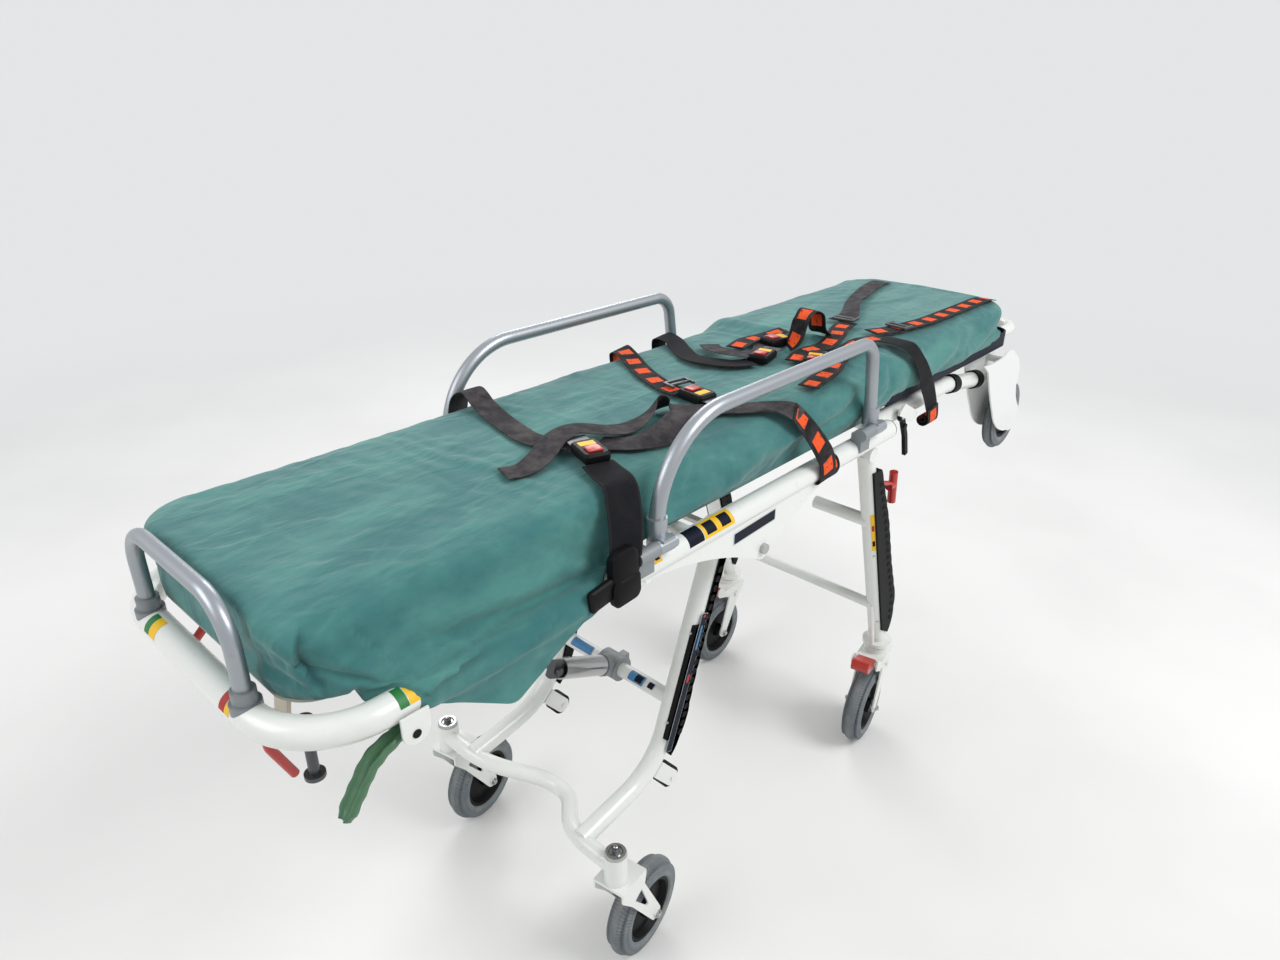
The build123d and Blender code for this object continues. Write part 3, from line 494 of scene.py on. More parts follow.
def mattressPad():
    gap, corner, crown = padLook["gap"], padLook["corner"], padLook["crown"]
    halfWidth = seatHigh.y - gap
    stations = np.arange(seatLow.x + gap, backHigh.x - gap, padLook["step"])
    stations = np.append(stations, backHigh.x - gap)
    height = seatHigh.z - seatLow.z
    ring = []
    for k in range(padLook["section"]):
        turn = 2 * math.pi * k / padLook["section"]
        ring.append([math.copysign(abs(way) ** power, way)
                     for way, power in zip((math.cos(turn), math.sin(turn)), padLook["square"])])
    points = []
    for x in stations:
        short = max(0.0, corner - min(x - seatLow.x, backHigh.x - x))
        width = halfWidth - corner + math.sqrt(max(0.0, corner ** 2 - short ** 2))
        for u, v in ring:
            y = u * (width - padLook["waist"] * (1 - v * v))
            raised = crown * (1 - min(1.0, abs(u)) ** 2) * (1 if v > 0 else 0)
            z = seatLow.z + gap + (v + 1) / 2 * (height - padLook["trim"] - crown) + raised
            near = max(0.0, 1 - (x - seatLow.x) / padLook["tuckLength"])
            points.append((x + padLook["footTuck"] * near * ((1 - v) / 2) ** 1.2, y, z + lift(x)))
    faces = ringFaces(len(ring), len(stations))
    pad = piece("mattress_pad", points, faces, "navy_plastic")
    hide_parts("mattress_seat", "mattress_fold", "mattress_back")
    return pad


pad = mattressPad()


# Fitted sheet: laid over the pad, tucked in all round, and pulled out over the near rail at the foot
sheetLook = {
    "pitch": 0.0115,
    "edge": 0.024,       # radius over the mattress edge
    "corner": 0.075,
    "clear": 0.0035,
    "drop": 0.128,       # from the top round the edge to the tucked hem
    "under": 0.004,      # the tucked part turns in this far above the mattress's underside
    "footLean": 0.05,    # the foot end leans in under the edge, from leanStart down
    "leanStart": 0.02,
    "flapSpare": 0.022,  # cloth that the flap needs to go out over the rail
    "flapReach": 0.02,   # cloth this near the rail's outside hangs free
    "flapTop": 0.008,    # it starts to go out this far down, and is out this far below the rail's top
    "flapLow": 0.004,
    "railGap": 0.006,
    "held": 0.93,        # cloth beyond this share of the way to the hem is held fast
    "wave": 0.003,       # soft waves and low ridges on the top
    "ridge": 0.006,
    "nearWidth": 0.25,   # the flat cloth beyond the mattress on the flap's side
}
flapHem = [(-0.995, 0.930), (-0.95, 0.922), (-0.91, 0.898), (-0.86, 0.866), (-0.80, 0.829), (-0.735, 0.857),
           (-0.67, 0.894), (-0.61, 0.918), (-0.545, 0.927)]
flapStart, flapFull, flapFade, flapEnd = -0.995, -0.915, -0.66, -0.545
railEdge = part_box("rail_right")[0][1]
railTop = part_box("rail_right")[1][2]


def hemDrop(x, side):  # how much cloth hangs beyond the mattress edge at a station
    if side > 0 or x < flapHem[0][0] or x > flapHem[-1][0]:
        return sheetLook["drop"]
    hem = np.interp(x, *zip(*flapHem))
    return max(sheetLook["drop"], seatHigh.z - hem + sheetLook["edge"] * 0.6 + sheetLook["flapSpare"])


def sheetPoint(s, t):
    # s along the mattress, t across it, both on the flat cloth
    edge = sheetLook["edge"]
    inset = sheetLook["corner"] - edge * 0.4
    lowX, highX = seatLow.x + edge - sheetLook["clear"], backHigh.x - edge + sheetLook["clear"]
    half = seatHigh.y + sheetLook["clear"] - edge
    px = min(max(s, lowX), highX)
    py = min(max(t, -half), half)
    cornerX = min(max(s, lowX + inset), highX - inset)
    cornerY = min(max(t, -(half - inset)), half - inset)
    dx, dy = s - cornerX, t - cornerY
    if abs(dx) > 1e-9 and abs(dy) > 1e-9:
        reach = math.hypot(dx, dy)
        away = (dx / reach, dy / reach)
        over = reach - inset
        px, py = cornerX + away[0] * min(reach, inset), cornerY + away[1] * min(reach, inset)
    else:
        over = max(abs(s - px), abs(t - py))
        away = (math.copysign(1, s - px) if abs(s - px) > abs(t - py) else 0.0,
                math.copysign(1, t - py) if abs(t - py) >= abs(s - px) else 0.0)
    top = seatHigh.z + sheetLook["clear"]
    if over <= 0:
        return px, py, top, 0.0
    nearSide = away[1] < -0.5
    limit = hemDrop(px, away[1]) if nearSide else sheetLook["drop"]
    over = min(over, limit)
    arc = edge * math.pi / 2
    if over < arc:
        turn = over / edge
        out, down = edge * math.sin(turn), edge * (1 - math.cos(turn))
    else:
        out, down = edge, edge + over - arc
    x, y = px + away[0] * out, py + away[1] * out
    if away[0] < -0.2:
        x += sheetLook["footLean"] * max(0.0, down - sheetLook["leanStart"]) * -away[0]
    bulge = float(eased(x, flapStart, flapFull) * (1 - eased(x, flapFade, flapEnd))) if nearSide else 0.0
    z = top - down
    spare = down - (top - seatLow.z - sheetLook["under"])
    if bulge:
        share = float(eased(down, sheetLook["flapTop"], top - railTop + sheetLook["flapLow"]))
        y += bulge * share * (railEdge - sheetLook["railGap"] - y)
    elif spare > 0:
        z = seatLow.z + 0.001
        x, y = x - away[0] * spare, y - away[1] * spare
    return x, y, z, over / limit


def fittedSheet():
    pitch = sheetLook["pitch"]
    reach = sheetLook["drop"]
    nearReach = max(hemDrop(x, -1) for x in np.linspace(flapHem[0][0], flapHem[-1][0], 60))
    edge = sheetLook["edge"]
    lowX, highX = seatLow.x + edge, backHigh.x - edge
    half = seatHigh.y + sheetLook["clear"] - edge
    ss = np.arange(lowX - reach, highX + reach + pitch, pitch)
    ts = np.arange(-half - nearReach, half + reach + pitch, pitch)
    points = []
    hem = []  # 0 on the top, 1 at the hem
    for s in ss:
        for t in ts:
            x, y, z, share = sheetPoint(float(s), float(t))
            points.append([x, y, z + lift(x)])
            hem.append(share)
    points = np.array(points)
    hem = np.array(hem)
    wide = len(ts)
    faces = []
    for i in range(len(ss) - 1):
        for j in range(wide - 1):
            corners = (i * wide + j, (i + 1) * wide + j, (i + 1) * wide + j + 1, i * wide + j + 1)
            if min(hem[k] for k in corners) < 0.999:
                faces.append(corners)
    for k in np.flatnonzero(hem == 0):
        x, y, z = points[k]
        wave = (noise.noise(Vector((x * 3.2, y * 7.0, 3.1))) * 0.6
                + noise.noise(Vector((x * 9 + y * 5, y * 15, 7.7))) * 0.3)
        ridge = 1 - abs(noise.noise(Vector((x * 2.6 - y * 1.4, x * 1.1 + y * 6.2, 11.3)))) * 2.2
        raised = sheetLook["wave"] * wave + sheetLook["ridge"] * max(0.0, ridge) ** 3
        points[k][2] += max(0.0, raised) + 0.0004
    used = sorted({k for face in faces for k in face})
    place = {k: n for n, k in enumerate(used)}
    sheet = piece("fitted_sheet", points[used], [tuple(place[k] for k in face) for face in faces],
                  "sheet_cloth")
    work = bmesh.new()
    work.from_mesh(sheet.data)
    shares = work.verts.layers.float.new("share")
    work.verts.ensure_lookup_table()
    for k in used:
        work.verts[place[k]][shares] = hem[k]
    bmesh.ops.remove_doubles(work, verts=work.verts, dist=pitch * 0.3)
    work.verts.ensure_lookup_table()
    held = [v.index for v in work.verts
            if v[shares] > sheetLook["held"] and not v.co.y < railEdge + sheetLook["flapReach"]]
    work.to_mesh(sheet.data)
    work.free()
    sheet.vertex_groups.new(name="held").add(held, 1.0, "REPLACE")
    return sheet


clothFeel = {
    "frames": 26,
    "blocks": {"thickness_outer": 0.0025, "cloth_friction": 12},
    "settings": {"quality": 6, "mass": 0.12, "tension_stiffness": 22, "compression_stiffness": 22,
                 "shear_stiffness": 12, "bending_stiffness": 1.6, "shrink_min": -0.015,
                 "vertex_group_mass": "held", "air_damping": 2.0},
    "collision": {"distance_min": 0.0015, "collision_quality": 3},
}


def given(holder, values):
    for key, value in values.items():
        setattr(holder, key, value)


def simulated(sheet):
    scene = bpy.context.scene
    blocks = []
    for source in (pad, frame["nodes"]["rail_right"]):
        block = source.copy()
        block.data = source.data.copy()
        block.parent = None
        block.name = "block_" + source.name
        scene.collection.objects.link(block)
        modified(block, "COLLISION")
        given(block.collision, clothFeel["blocks"])
        blocks.append(block)
    cloth = modified(sheet, "CLOTH")
    given(cloth.settings, clothFeel["settings"])
    given(cloth.collision_settings, clothFeel["collision"])
    cloth.point_cache.frame_start = 1
    cloth.point_cache.frame_end = clothFeel["frames"]
    for number in range(1, clothFeel["frames"] + 1):
        scene.frame_set(number)
    shaped = bpy.data.meshes.new_from_object(sheet.evaluated_get(bpy.context.evaluated_depsgraph_get()))
    sheet.modifiers.remove(cloth)
    sheet.data = shaped
    scene.frame_set(1)
    for block in blocks:
        bpy.data.objects.remove(block)


sheet = fittedSheet()
simulated(sheet)
sheet.data.materials.clear()
sheet.data.materials.append(finishes["sheet_cloth"])
print("stage: sheet,", len(sheet.data.polygons), "faces")


# Folds pressed into the laid sheet: the points of each fold, which side of it stands out, and how far
foldLook = {
    "shade": 0.0085,      # how wide a fold's line of painted shade is
    "lap": 0.018,         # how far the hem laps over the backrest tray's rim, and where that ends
    "lapEnd": 0.05,
    "lapFade": 0.12,
    "rim": 0.012,         # what lies this near above the rim is held outside it
    "outside": 0.003,
    "inside": 0.002,
    "hinge": 0.13,        # the stretch by the backrest's hinge, and how high the tucked hem lies there
    "tuck": 0.034,
    "folds": [
        {"line": [(-0.945, -0.284, 0.916), (-0.86, -0.284, 0.926), (-0.76, -0.282, 0.940),
                  (-0.60, -0.272, 0.962)],
         "side": (0, 0, 1), "stand": 0.010, "reach": 0.026},
        {"line": [(-1.046, -0.215, 1.036), (-1.050, -0.212, 1.000), (-1.034, -0.224, 0.935)],
         "side": (-0.7, 0.7, 0), "stand": 0.013, "reach": 0.022},
        {"line": [(-0.992, -0.238, 1.022), (-0.968, -0.246, 0.985), (-0.930, -0.266, 0.925)],
         "side": (-1, 0, -0.4), "stand": 0.007, "reach": 0.022},
        {"line": [(-0.90, -0.285, 0.875), (-0.84, -0.285, 0.880), (-0.77, -0.285, 0.900),
                  (-0.69, -0.284, 0.925)],
         "side": (0, 0, 1), "stand": 0.0025, "reach": 0.012},
    ],
}


def folded(places, normals):  # each fold is a step that fades out at its ends, with a painted shadow on its low side
    shadow = np.zeros(len(places))
    for fold in foldLook["folds"]:
        line = np.array(spline(fold["line"], 16))
        apart = np.linalg.norm(places[:, None, :] - line[None, :, :], axis=2)
        nearest = apart.argmin(axis=1)
        gap = apart.min(axis=1)
        fade = np.sqrt(np.sin(np.pi * nearest / (len(line) - 1)).clip(0, 1))
        standing = ((places - line[nearest]) @ np.array(fold["side"])) > 0
        height = fold["stand"] * np.exp(-(gap / fold["reach"]) ** 2) * fade
        places += normals * np.array((1, 1, 0.2)) * (height * standing)[:, None]
        dark = np.exp(-(gap / foldLook["shade"]) ** 2) * fade * ~standing * min(1.0, fold["stand"] * 120)
        shadow = np.maximum(shadow, dark)
    return shadow


def tuckedIn(places):  # along the backrest the hem laps over the tray's rim, and the rest lies inside it
    low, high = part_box("back_tray")
    sideways = np.abs(places[:, 1])
    onBack = (places[:, 0] > low[0] + 0.01) & (sideways > high[1] - 0.008)
    share = np.clip((high[0] - foldLook["lapEnd"] - places[:, 0]) / foldLook["lapFade"], 0, 1)
    hem = high[2] - foldLook["lap"] * share
    over = onBack & (places[:, 2] > hem) & (places[:, 2] < high[2] + foldLook["rim"])
    under = onBack & (places[:, 2] <= hem)
    sideways = np.where(over, np.maximum(sideways, high[1] + foldLook["outside"]), sideways)
    sideways = np.where(under, np.minimum(sideways, high[1] - foldLook["inside"]), sideways)
    places[:, 1] = np.copysign(sideways, places[:, 1])
    # by the hinge, what is tucked in stays high enough not to come through the tray when the back is up
    byHinge = (places[:, 0] > low[0]) & (places[:, 0] < low[0] + foldLook["hinge"])
    raised = np.maximum(places[:, 2], low[2] + foldLook["tuck"])
    places[:, 2] = np.where(byHinge & (sideways < high[1] - 0.001), raised, places[:, 2])


def pressed(obj):
    modified(obj, "SUBSURF", levels=1, render_levels=1)
    obj.data = bpy.data.meshes.new_from_object(obj.evaluated_get(bpy.context.evaluated_depsgraph_get()))
    obj.modifiers.clear()
    mesh = obj.data
    places = np.array([vertex.co for vertex in mesh.vertices])
    normals = np.array([vertex.normal for vertex in mesh.vertices])
    shadow = folded(places, normals)
    tuckedIn(places)
    mesh.vertices.foreach_set("co", places.ravel())
    # fold holds the painted shadow of each fold, which darkens the cloth's colour
    attribute = mesh.attributes.new("fold", "FLOAT", "POINT")
    attribute.data.foreach_set("value", shadow.astype(np.float32))
    mesh.update()


pressed(sheet)
bending(sheet)
bending(pad)


# Tyres with a fine ribbed tread and a stepped sidewall, each about its own axle
tyreLook = {"groove": 0.0011, "grooves": 9, "crown": 0.0125, "bead": 0.66, "tread": 0.66, "steps": 112,
            "half": {"head": 0.024, "foot": 0.024, "load": 0.016}}


def tyre(end, side):
    name = f"{end}_tyre_{side}"
    body = f"{end}_wheel_{side}"
    low, high = (Vector(corner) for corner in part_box(name))
    radius = (high.z - low.z) / 2
    half = tyreLook["half"][end]
    bead = radius * tyreLook["bead"]
    wall = [(-half * 0.72, bead), (-half * 0.96, bead + 0.002), (-half, radius * 0.72),
            (-half * 0.99, radius * 0.8), (-half * 0.93, radius * 0.81), (-half * 0.9, radius * 0.86),
            (-half * 0.8, radius * 0.93)]
    rows = tyreLook["grooves"] * 4
    tread = []
    for k in range(rows + 1):
        share = k / rows * 2 - 1
        depth = tyreLook["groove"] if k % 4 in (2, 3) else 0.0
        crown = tyreLook["crown"] * abs(share) ** 2.6
        tread.append((share * half * tyreLook["tread"], radius - crown - depth))
    outline = wall + tread + [(-along, r) for along, r in reversed(wall)]
    steps = tyreLook["steps"]
    stride = 2 * math.pi * radius / steps
    faces = []
    runs = []
    for ring in range(len(outline)):
        after = (ring + 1) % len(outline)
        across = [(number - len(wall)) / rows * 2 - 1 for number in (ring, after)]
        for k in range(steps):
            kNext = (k + 1) % steps
            faces.append((ring * steps + k, ring * steps + kNext, after * steps + kNext, after * steps + k))
            runs += [(k * stride, across[0], 0), ((k + 1) * stride, across[0], 0),
                     ((k + 1) * stride, across[1], 0), (k * stride, across[1], 0)]
    points = turned((low + high) / 2, joints[body]["axis"], outline, steps)
    made = piece(f"{end}_tread_{side}", points, faces, "grey_tyre", body)
    marked(made, "CORNER", runs)
    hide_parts(name)


for wheelEnd in ("head", "foot", "load"):
    for wheelSide in ("right", "left"):
        tyre(wheelEnd, wheelSide)
print("stage: tyres")


# Belts: flat webbing through given (place, way that its face looks), lying on the sheet
beltLook = {
    "thickness": 0.0018, "smooth": 10,  # steps from one given place to the next
    "section": [(-1.0, -0.35), (-0.98, 0.4), (-0.9, 0.5), (0.0, 0.62), (0.9, 0.5), (0.98, 0.4),
                (1.0, -0.35), (0.9, -0.5), (0.0, -0.5), (-0.9, -0.5)],
}
topZ = seatHigh.z + 0.009
up = (0, 0, 1)


def belt(name, route, finish, width=0.046):
    places = spline([place for place, face in route], beltLook["smooth"])
    turns = spline([face for place, face in route], beltLook["smooth"])
    section = beltLook["section"]
    points = []
    runs = []
    gone = 0.0
    for k, place in enumerate(places):
        before = places[max(k - 1, 0)]
        after = places[min(k + 1, len(places) - 1)]
        ahead = Vector(after - before).normalized()
        face = Vector(turns[k])
        face = (face - ahead * face.dot(ahead)).normalized()
        aside = ahead.cross(face)
        gone += float(np.linalg.norm(place - before)) if k else 0.0
        for u, v in section:
            points.append(Vector(place) + aside * (u * width / 2) + face * (v * beltLook["thickness"]))
            runs.append((gone, u, v))
    made = piece(name, points, ringFaces(len(section), len(places), flipped=True), finish)
    marked(made, "POINT", runs)
    bending(made)


def onTop(x, y, height=0.0, face=up):
    return ((x, y, topZ + lift(x) + height), face)


belts = {
    # from its buckle over the near edge into the keeper, and from the far side to the buckle
    "foot_belt_near": {"finish": "web_black", "width": 0.056, "route": [
        onTop(-0.521, -0.170, 0.006), onTop(-0.529, -0.198, 0.003, (-0.1, -0.1, 1)),
        ((-0.541, -0.238, 1.047), (-0.3, -0.7, 0.7)), ((-0.556, -0.262, 1.012), (-0.45, -0.9, 0.25)),
        ((-0.568, -0.276, 0.985), (-0.4, -0.9, 0.1)), ((-0.578, -0.2845, 0.955), (-0.3, -1, 0)),
        ((-0.584, -0.287, 0.925), (-0.1, -1, 0)),
    ]},
    "foot_belt_far": {"finish": "web_plain", "route": [
        ((-0.480, 0.262, 0.93), (0, 1, 0)), ((-0.478, 0.256, 0.99), (0, 1, 0.3)),
        ((-0.474, 0.246, 1.046), (0, 0.8, 0.7)), onTop(-0.474, 0.208, 0.022, (0, 0.1, 1)),
        onTop(-0.480, 0.165, 0.006), onTop(-0.492, 0.115), onTop(-0.508, 0.055), onTop(-0.518, 0.0),
        onTop(-0.514, -0.045, 0.002), onTop(-0.500, -0.095, 0.008),
    ]},
    "foot_belt_tail": {"finish": "web_plain", "route": [
        onTop(-0.640, -0.085, 0.001), onTop(-0.605, -0.095, 0.001), onTop(-0.565, -0.086, 0.006),
        onTop(-0.515, -0.066, 0.016), onTop(-0.470, -0.064, 0.019), onTop(-0.428, -0.092, 0.013),
        onTop(-0.385, -0.102, 0.006), onTop(-0.335, -0.095, 0.010, (0, 0.4, 0.9)),
        onTop(-0.290, -0.082, 0.018, (0, 0.8, 0.5)), onTop(-0.262, -0.095, 0.014, (0.1, 0.5, 0.8)),
        onTop(-0.262, -0.130, 0.007), onTop(-0.290, -0.158, 0.003),
    ]},
    "knee_belt": {"finish": "web_plain", "width": 0.05, "route": [
        onTop(-0.452, -0.105, 0.001), onTop(-0.436, -0.136, 0.002),
        onTop(-0.397, -0.160, 0.003, (0.1, -0.2, 1)), onTop(-0.350, -0.166, 0.007, (0.2, -0.5, 0.9)),
        onTop(-0.300, -0.150, 0.012, (0, -0.3, 1)), onTop(-0.252, -0.134, 0.010),
        onTop(-0.205, -0.148, 0.003), onTop(-0.160, -0.182, 0.001), onTop(-0.118, -0.212, 0.001),
        ((-0.088, -0.246, 1.040), (0, -0.6, 0.8)), ((-0.070, -0.262, 1.012), (0.05, -0.9, 0.5)),
    ]},
    "knee_belt_end": {"finish": "web_barred", "width": 0.05, "route": [
        ((-0.090, -0.247, 1.042), (0, -0.6, 0.8)), ((-0.068, -0.2645, 1.010), (0.05, -0.9, 0.5)),
        ((-0.045, -0.281, 0.970), (0.05, -1, 0.2)), ((-0.026, -0.289, 0.935), (0, -1, 0)),
        ((-0.014, -0.286, 0.893), (0, -0.9, -0.4)), ((-0.008, -0.262, 0.8775), (0, 0, -1)),
    ]},
    "rail_loop": {"finish": "web_barred", "width": 0.05, "route": [
        ((0.004, -0.262, 0.9295), (0, 0, 1)), ((0.004, -0.2795, 0.9225), (0, -0.7, 0.7)),
        ((0.004, -0.2868, 0.904), (0, -1, 0)), ((0.004, -0.2795, 0.8855), (0, -0.7, -0.7)),
        ((0.004, -0.262, 0.8785), (0, 0, -1)), ((0.004, -0.2445, 0.8855), (0, 0.7, -0.7)),
        ((0.004, -0.2375, 0.904), (0, 1, 0)),
    ]},
    "chest_belt_far": {"finish": "web_barred", "route": [
        ((-0.030, 0.262, 0.95), (0, 1, 0)), ((-0.036, 0.255, 1.00), (0, 1, 0.3)),
        ((-0.048, 0.243, 1.045), (0, 0.8, 0.7)), onTop(-0.070, 0.195, 0.002), onTop(-0.112, 0.125),
        onTop(-0.148, 0.055), onTop(-0.172, -0.01, 0.001), onTop(-0.180, -0.055, 0.003),
    ]},
    # the harness lies in a heap across the hinge
    "harness_far": {"finish": "web_black", "route": [
        ((0.105, 0.262, 0.95), (0, 1, 0)), ((0.10, 0.254, 1.0), (0, 1, 0.3)),
        ((0.092, 0.243, 1.046), (0, 0.8, 0.7)), onTop(0.075, 0.19, 0.003), onTop(0.042, 0.14, 0.001),
        onTop(0.008, 0.085, 0.002), onTop(-0.002, 0.03, 0.007), onTop(0.022, -0.015, 0.006),
        onTop(0.07, -0.035, 0.002),
    ]},
    "harness_loop": {"finish": "web_plain", "width": 0.044, "route": [
        onTop(0.10, 0.105, 0.004), onTop(0.06, 0.06, 0.014), onTop(0.05, 0.015, 0.018),
        onTop(0.085, -0.01, 0.010), onTop(0.14, -0.005, 0.004), onTop(0.19, 0.02, 0.003),
    ]},
    "harness_mid_one": {"finish": "web_barred", "width": 0.044, "route": [
        onTop(0.115, 0.045, 0.006), onTop(0.17, 0.055, 0.008), onTop(0.23, 0.05, 0.006),
        onTop(0.28, 0.03, 0.004),
    ]},
    "harness_stand": {"finish": "web_barred", "width": 0.046, "route": [
        onTop(0.205, -0.035, 0.002), onTop(0.215, -0.045, 0.03, (-1, 0.2, 0.3)),
        onTop(0.222, -0.05, 0.065, (-1, 0.2, 0.1)), onTop(0.25, -0.05, 0.078, (0, 0, 1)),
        onTop(0.278, -0.052, 0.055, (1, 0, 0.2)), onTop(0.286, -0.055, 0.02, (1, 0, 0.3)),
        onTop(0.31, -0.06, 0.004),
    ]},
    "harness_near": {"finish": "web_barred", "width": 0.044, "route": [
        onTop(0.02, -0.205, 0.001), onTop(0.07, -0.195, 0.001), onTop(0.13, -0.185, 0.002),
        onTop(0.19, -0.165, 0.005), onTop(0.24, -0.15, 0.008), onTop(0.30, -0.152, 0.006),
        onTop(0.36, -0.165, 0.004),
    ]},
    "harness_cross": {"finish": "web_barred", "width": 0.044, "route": [
        onTop(0.13, -0.10, 0.004), onTop(0.19, -0.085, 0.008), onTop(0.25, -0.098, 0.007),
        onTop(0.31, -0.088, 0.005), onTop(0.37, -0.062, 0.004), onTop(0.43, -0.05, 0.004),
    ]},
    "shoulder_belt_far": {"finish": "web_plain", "route": [
        onTop(0.906, 0.118, -0.004), onTop(0.87, 0.113, 0.002), onTop(0.80, 0.098, 0.004),
        onTop(0.72, 0.078, 0.002), onTop(0.64, 0.055, 0.003, (0, 0.3, 1)),
        onTop(0.56, 0.02, 0.005, (0, 0.5, 0.9)), onTop(0.49, -0.015, 0.004), onTop(0.43, -0.02, 0.004),
    ]},
    "shoulder_belt_near": {"finish": "web_barred", "route": [
        onTop(0.925, -0.178, -0.006), onTop(0.88, -0.178, 0.001), onTop(0.78, -0.176, 0.001),
        onTop(0.68, -0.174, 0.001), onTop(0.58, -0.172, 0.002), onTop(0.50, -0.165, 0.005),
        onTop(0.44, -0.15, 0.004), onTop(0.39, -0.13, 0.005),
    ]},
    "head_belt_near": {"finish": "web_black", "width": 0.05, "route": [
        onTop(0.36, -0.172, 0.004), onTop(0.365, -0.205, 0.004),
        ((0.372, -0.243, 1.058), (0, -0.6, 0.8)), ((0.39, -0.262, 1.02), (0.1, -1, 0.2)),
        ((0.415, -0.266, 0.98), (0, -1, 0)), ((0.445, -0.264, 0.945), (0, -1, 0)),
        ((0.462, -0.265, 0.915), (0, -1, 0)), ((0.470, -0.2685, 0.890), (0, -1, 0)),
    ]},
}
rollLook = {
    "start": [((0.468, -0.2692, 0.903), (0, -1, 0)), ((0.470, -0.2708, 0.888), (0, -1, 0))],
    "centre": (0.472, -0.2555, 0.872), "radius": 0.0158, "shrink": 0.0008, "turn": 0.62, "points": 15,
}


def rolledEnd():  # the head belt's spare end, rolled up beside the carriage tube
    x, y, z = rollLook["centre"]
    route = list(rollLook["start"])
    for k in range(rollLook["points"]):
        turn = math.pi + k * rollLook["turn"]
        radius = rollLook["radius"] - k * rollLook["shrink"]
        way = (0, math.cos(turn), math.sin(turn))
        route.append(((x, y + way[1] * radius, z + way[2] * radius), way))
    belt("head_belt_roll", route, "web_barred", width=0.05)


for name, look in belts.items():
    belt(name, **look)
rolledEnd()
print("stage: belts")


# Buckles: a tapered housing with a press button and a tag, and the steel tongue that enters it
buckleLook = {
    "housing": {"half": (0.033, 0.0225), "thick": 0.017, "corner": 0.007, "finish": "black_plastic"},
    "button": {"half": (0.0115, 0.013), "thick": 0.005, "corner": 0.003, "finish": "red_plastic",
               "at": -0.012, "above": 0.0095},
    "tag": {"half": (0.008, 0.014), "thick": 0.0012, "corner": 0.001, "finish": "label_yellow",
            "at": 0.014, "above": 0.0085},
    "tongue": {"half": (0.022, 0.0195), "thick": 0.0026, "corner": 0.004, "finish": "dark_steel",
               "at": 0.045},
}


def placed(centre, along, height=0.0, face=up):
    along = Vector(along).normalized()
    face = Vector(face)
    face = (face - along * face.dot(along)).normalized()
    turn = Matrix((along, face.cross(along), face)).transposed().to_4x4()
    turn.translation = Vector(centre) + face * height
    return turn


def block(name, place, half, thick, corner, finish, body, dome=0.0):
    # a rounded box with softened edges; dome draws its top in further
    outline = roundedBox(half, corner)
    levels = ((-0.5, 0.94), (-0.3, 1.0), (0.25, 1.0), (0.5, 0.88 - dome))
    points = []
    for level, scale in levels:
        points += [place @ Vector((u * scale, v * scale, level * thick)) for u, v in outline]
    faces = ringFaces(len(outline), len(levels))
    made = piece(name, points, faces, finish, body)
    modified(made, "EDGE_SPLIT", split_angle=math.radians(38))


def buckle(name, x, y, along, height):
    centre = Vector(onTop(x, y, height)[0])
    along = Vector(along).normalized()
    for part, look in buckleLook.items():
        shape = {key: look[key] for key in ("half", "thick", "corner", "finish")}
        place = placed(centre + along * look.get("at", 0.0), along, look.get("above", 0.0))
        block(f"{name}_{part}", place, body="root", **shape)


for name, x, y, along, height in (
    ("foot_buckle", -0.509, -0.142, (0.33, 0.9, 0), 0.014),
    ("chest_buckle", -0.178, -0.088, (-0.1, -1, 0), 0.008),
    ("harness_buckle_far", 0.105, -0.035, (1, 0.25, 0), 0.008),
    ("harness_buckle_mid", 0.215, 0.005, (1, -0.3, 0), 0.010),
    ("harness_buckle_near", 0.150, -0.135, (1, 0.45, 0), 0.010),
):
    buckle(name, x, y, along, height)


# Adjusters: a steel slide of two bars between two cheeks
adjusterLook = {"bar": {"half": (0.0030, 0.024), "thick": 0.005, "corner": 0.0028},
                "cheek": {"half": (0.017, 0.0028), "thick": 0.005, "corner": 0.0025},
                "bars": (-0.014, 0.003), "cheeks": (-0.025, 0.025)}


def adjuster(name, x, y, along, height, body):
    centre = Vector(onTop(x, y, height)[0])
    along = Vector(along).normalized()
    aside = along.cross(Vector(up))
    for kind, way in (("bar", along), ("cheek", aside)):
        for k, offset in enumerate(adjusterLook[kind + "s"]):
            block(f"{name}_{kind}_{k}", placed(centre + way * offset, along), finish="dark_steel", body=body,
                  **adjusterLook[kind])


adjuster("chest_adjuster", -0.150, -0.02, (-0.2, -1, 0), 0.008, "root")
adjuster("harness_adjuster", 0.44, -0.035, (1, 0.1, 0), 0.010, "backrest")
adjuster("shoulder_adjuster", 0.47, -0.158, (1, -0.1, 0), 0.010, "backrest")
print("stage: buckles")


# The keeper round the near rail that the foot belt goes into, with its cover and the band beside it
keeperLook = {
    "belt_keeper": {"at": (-0.587, -0.2890, 0.932), "along": (1, 0, 0.05), "half": (0.027, 0.046),
                    "thick": 0.020, "corner": 0.017, "finish": "black_rubber", "dome": 0.1},
    "belt_keeper_cover": {"at": (-0.587, -0.2930, 0.911), "along": (1, 0, 0.05), "half": (0.029, 0.024),
                          "thick": 0.016, "corner": 0.013, "finish": "black_rubber", "dome": 0.06},
    "belt_keeper_band": {"at": (-0.633, -0.2890, 0.918), "along": (1, 0, 0.14), "half": (0.026, 0.018),
                         "thick": 0.010, "corner": 0.005, "finish": "black_plastic", "dome": 0.03},
}
for name, look in keeperLook.items():
    shape = {key: value for key, value in look.items() if key not in ("at", "along")}
    block(name, placed(look["at"], look["along"], face=(0, -1, 0)), body="root", **shape)


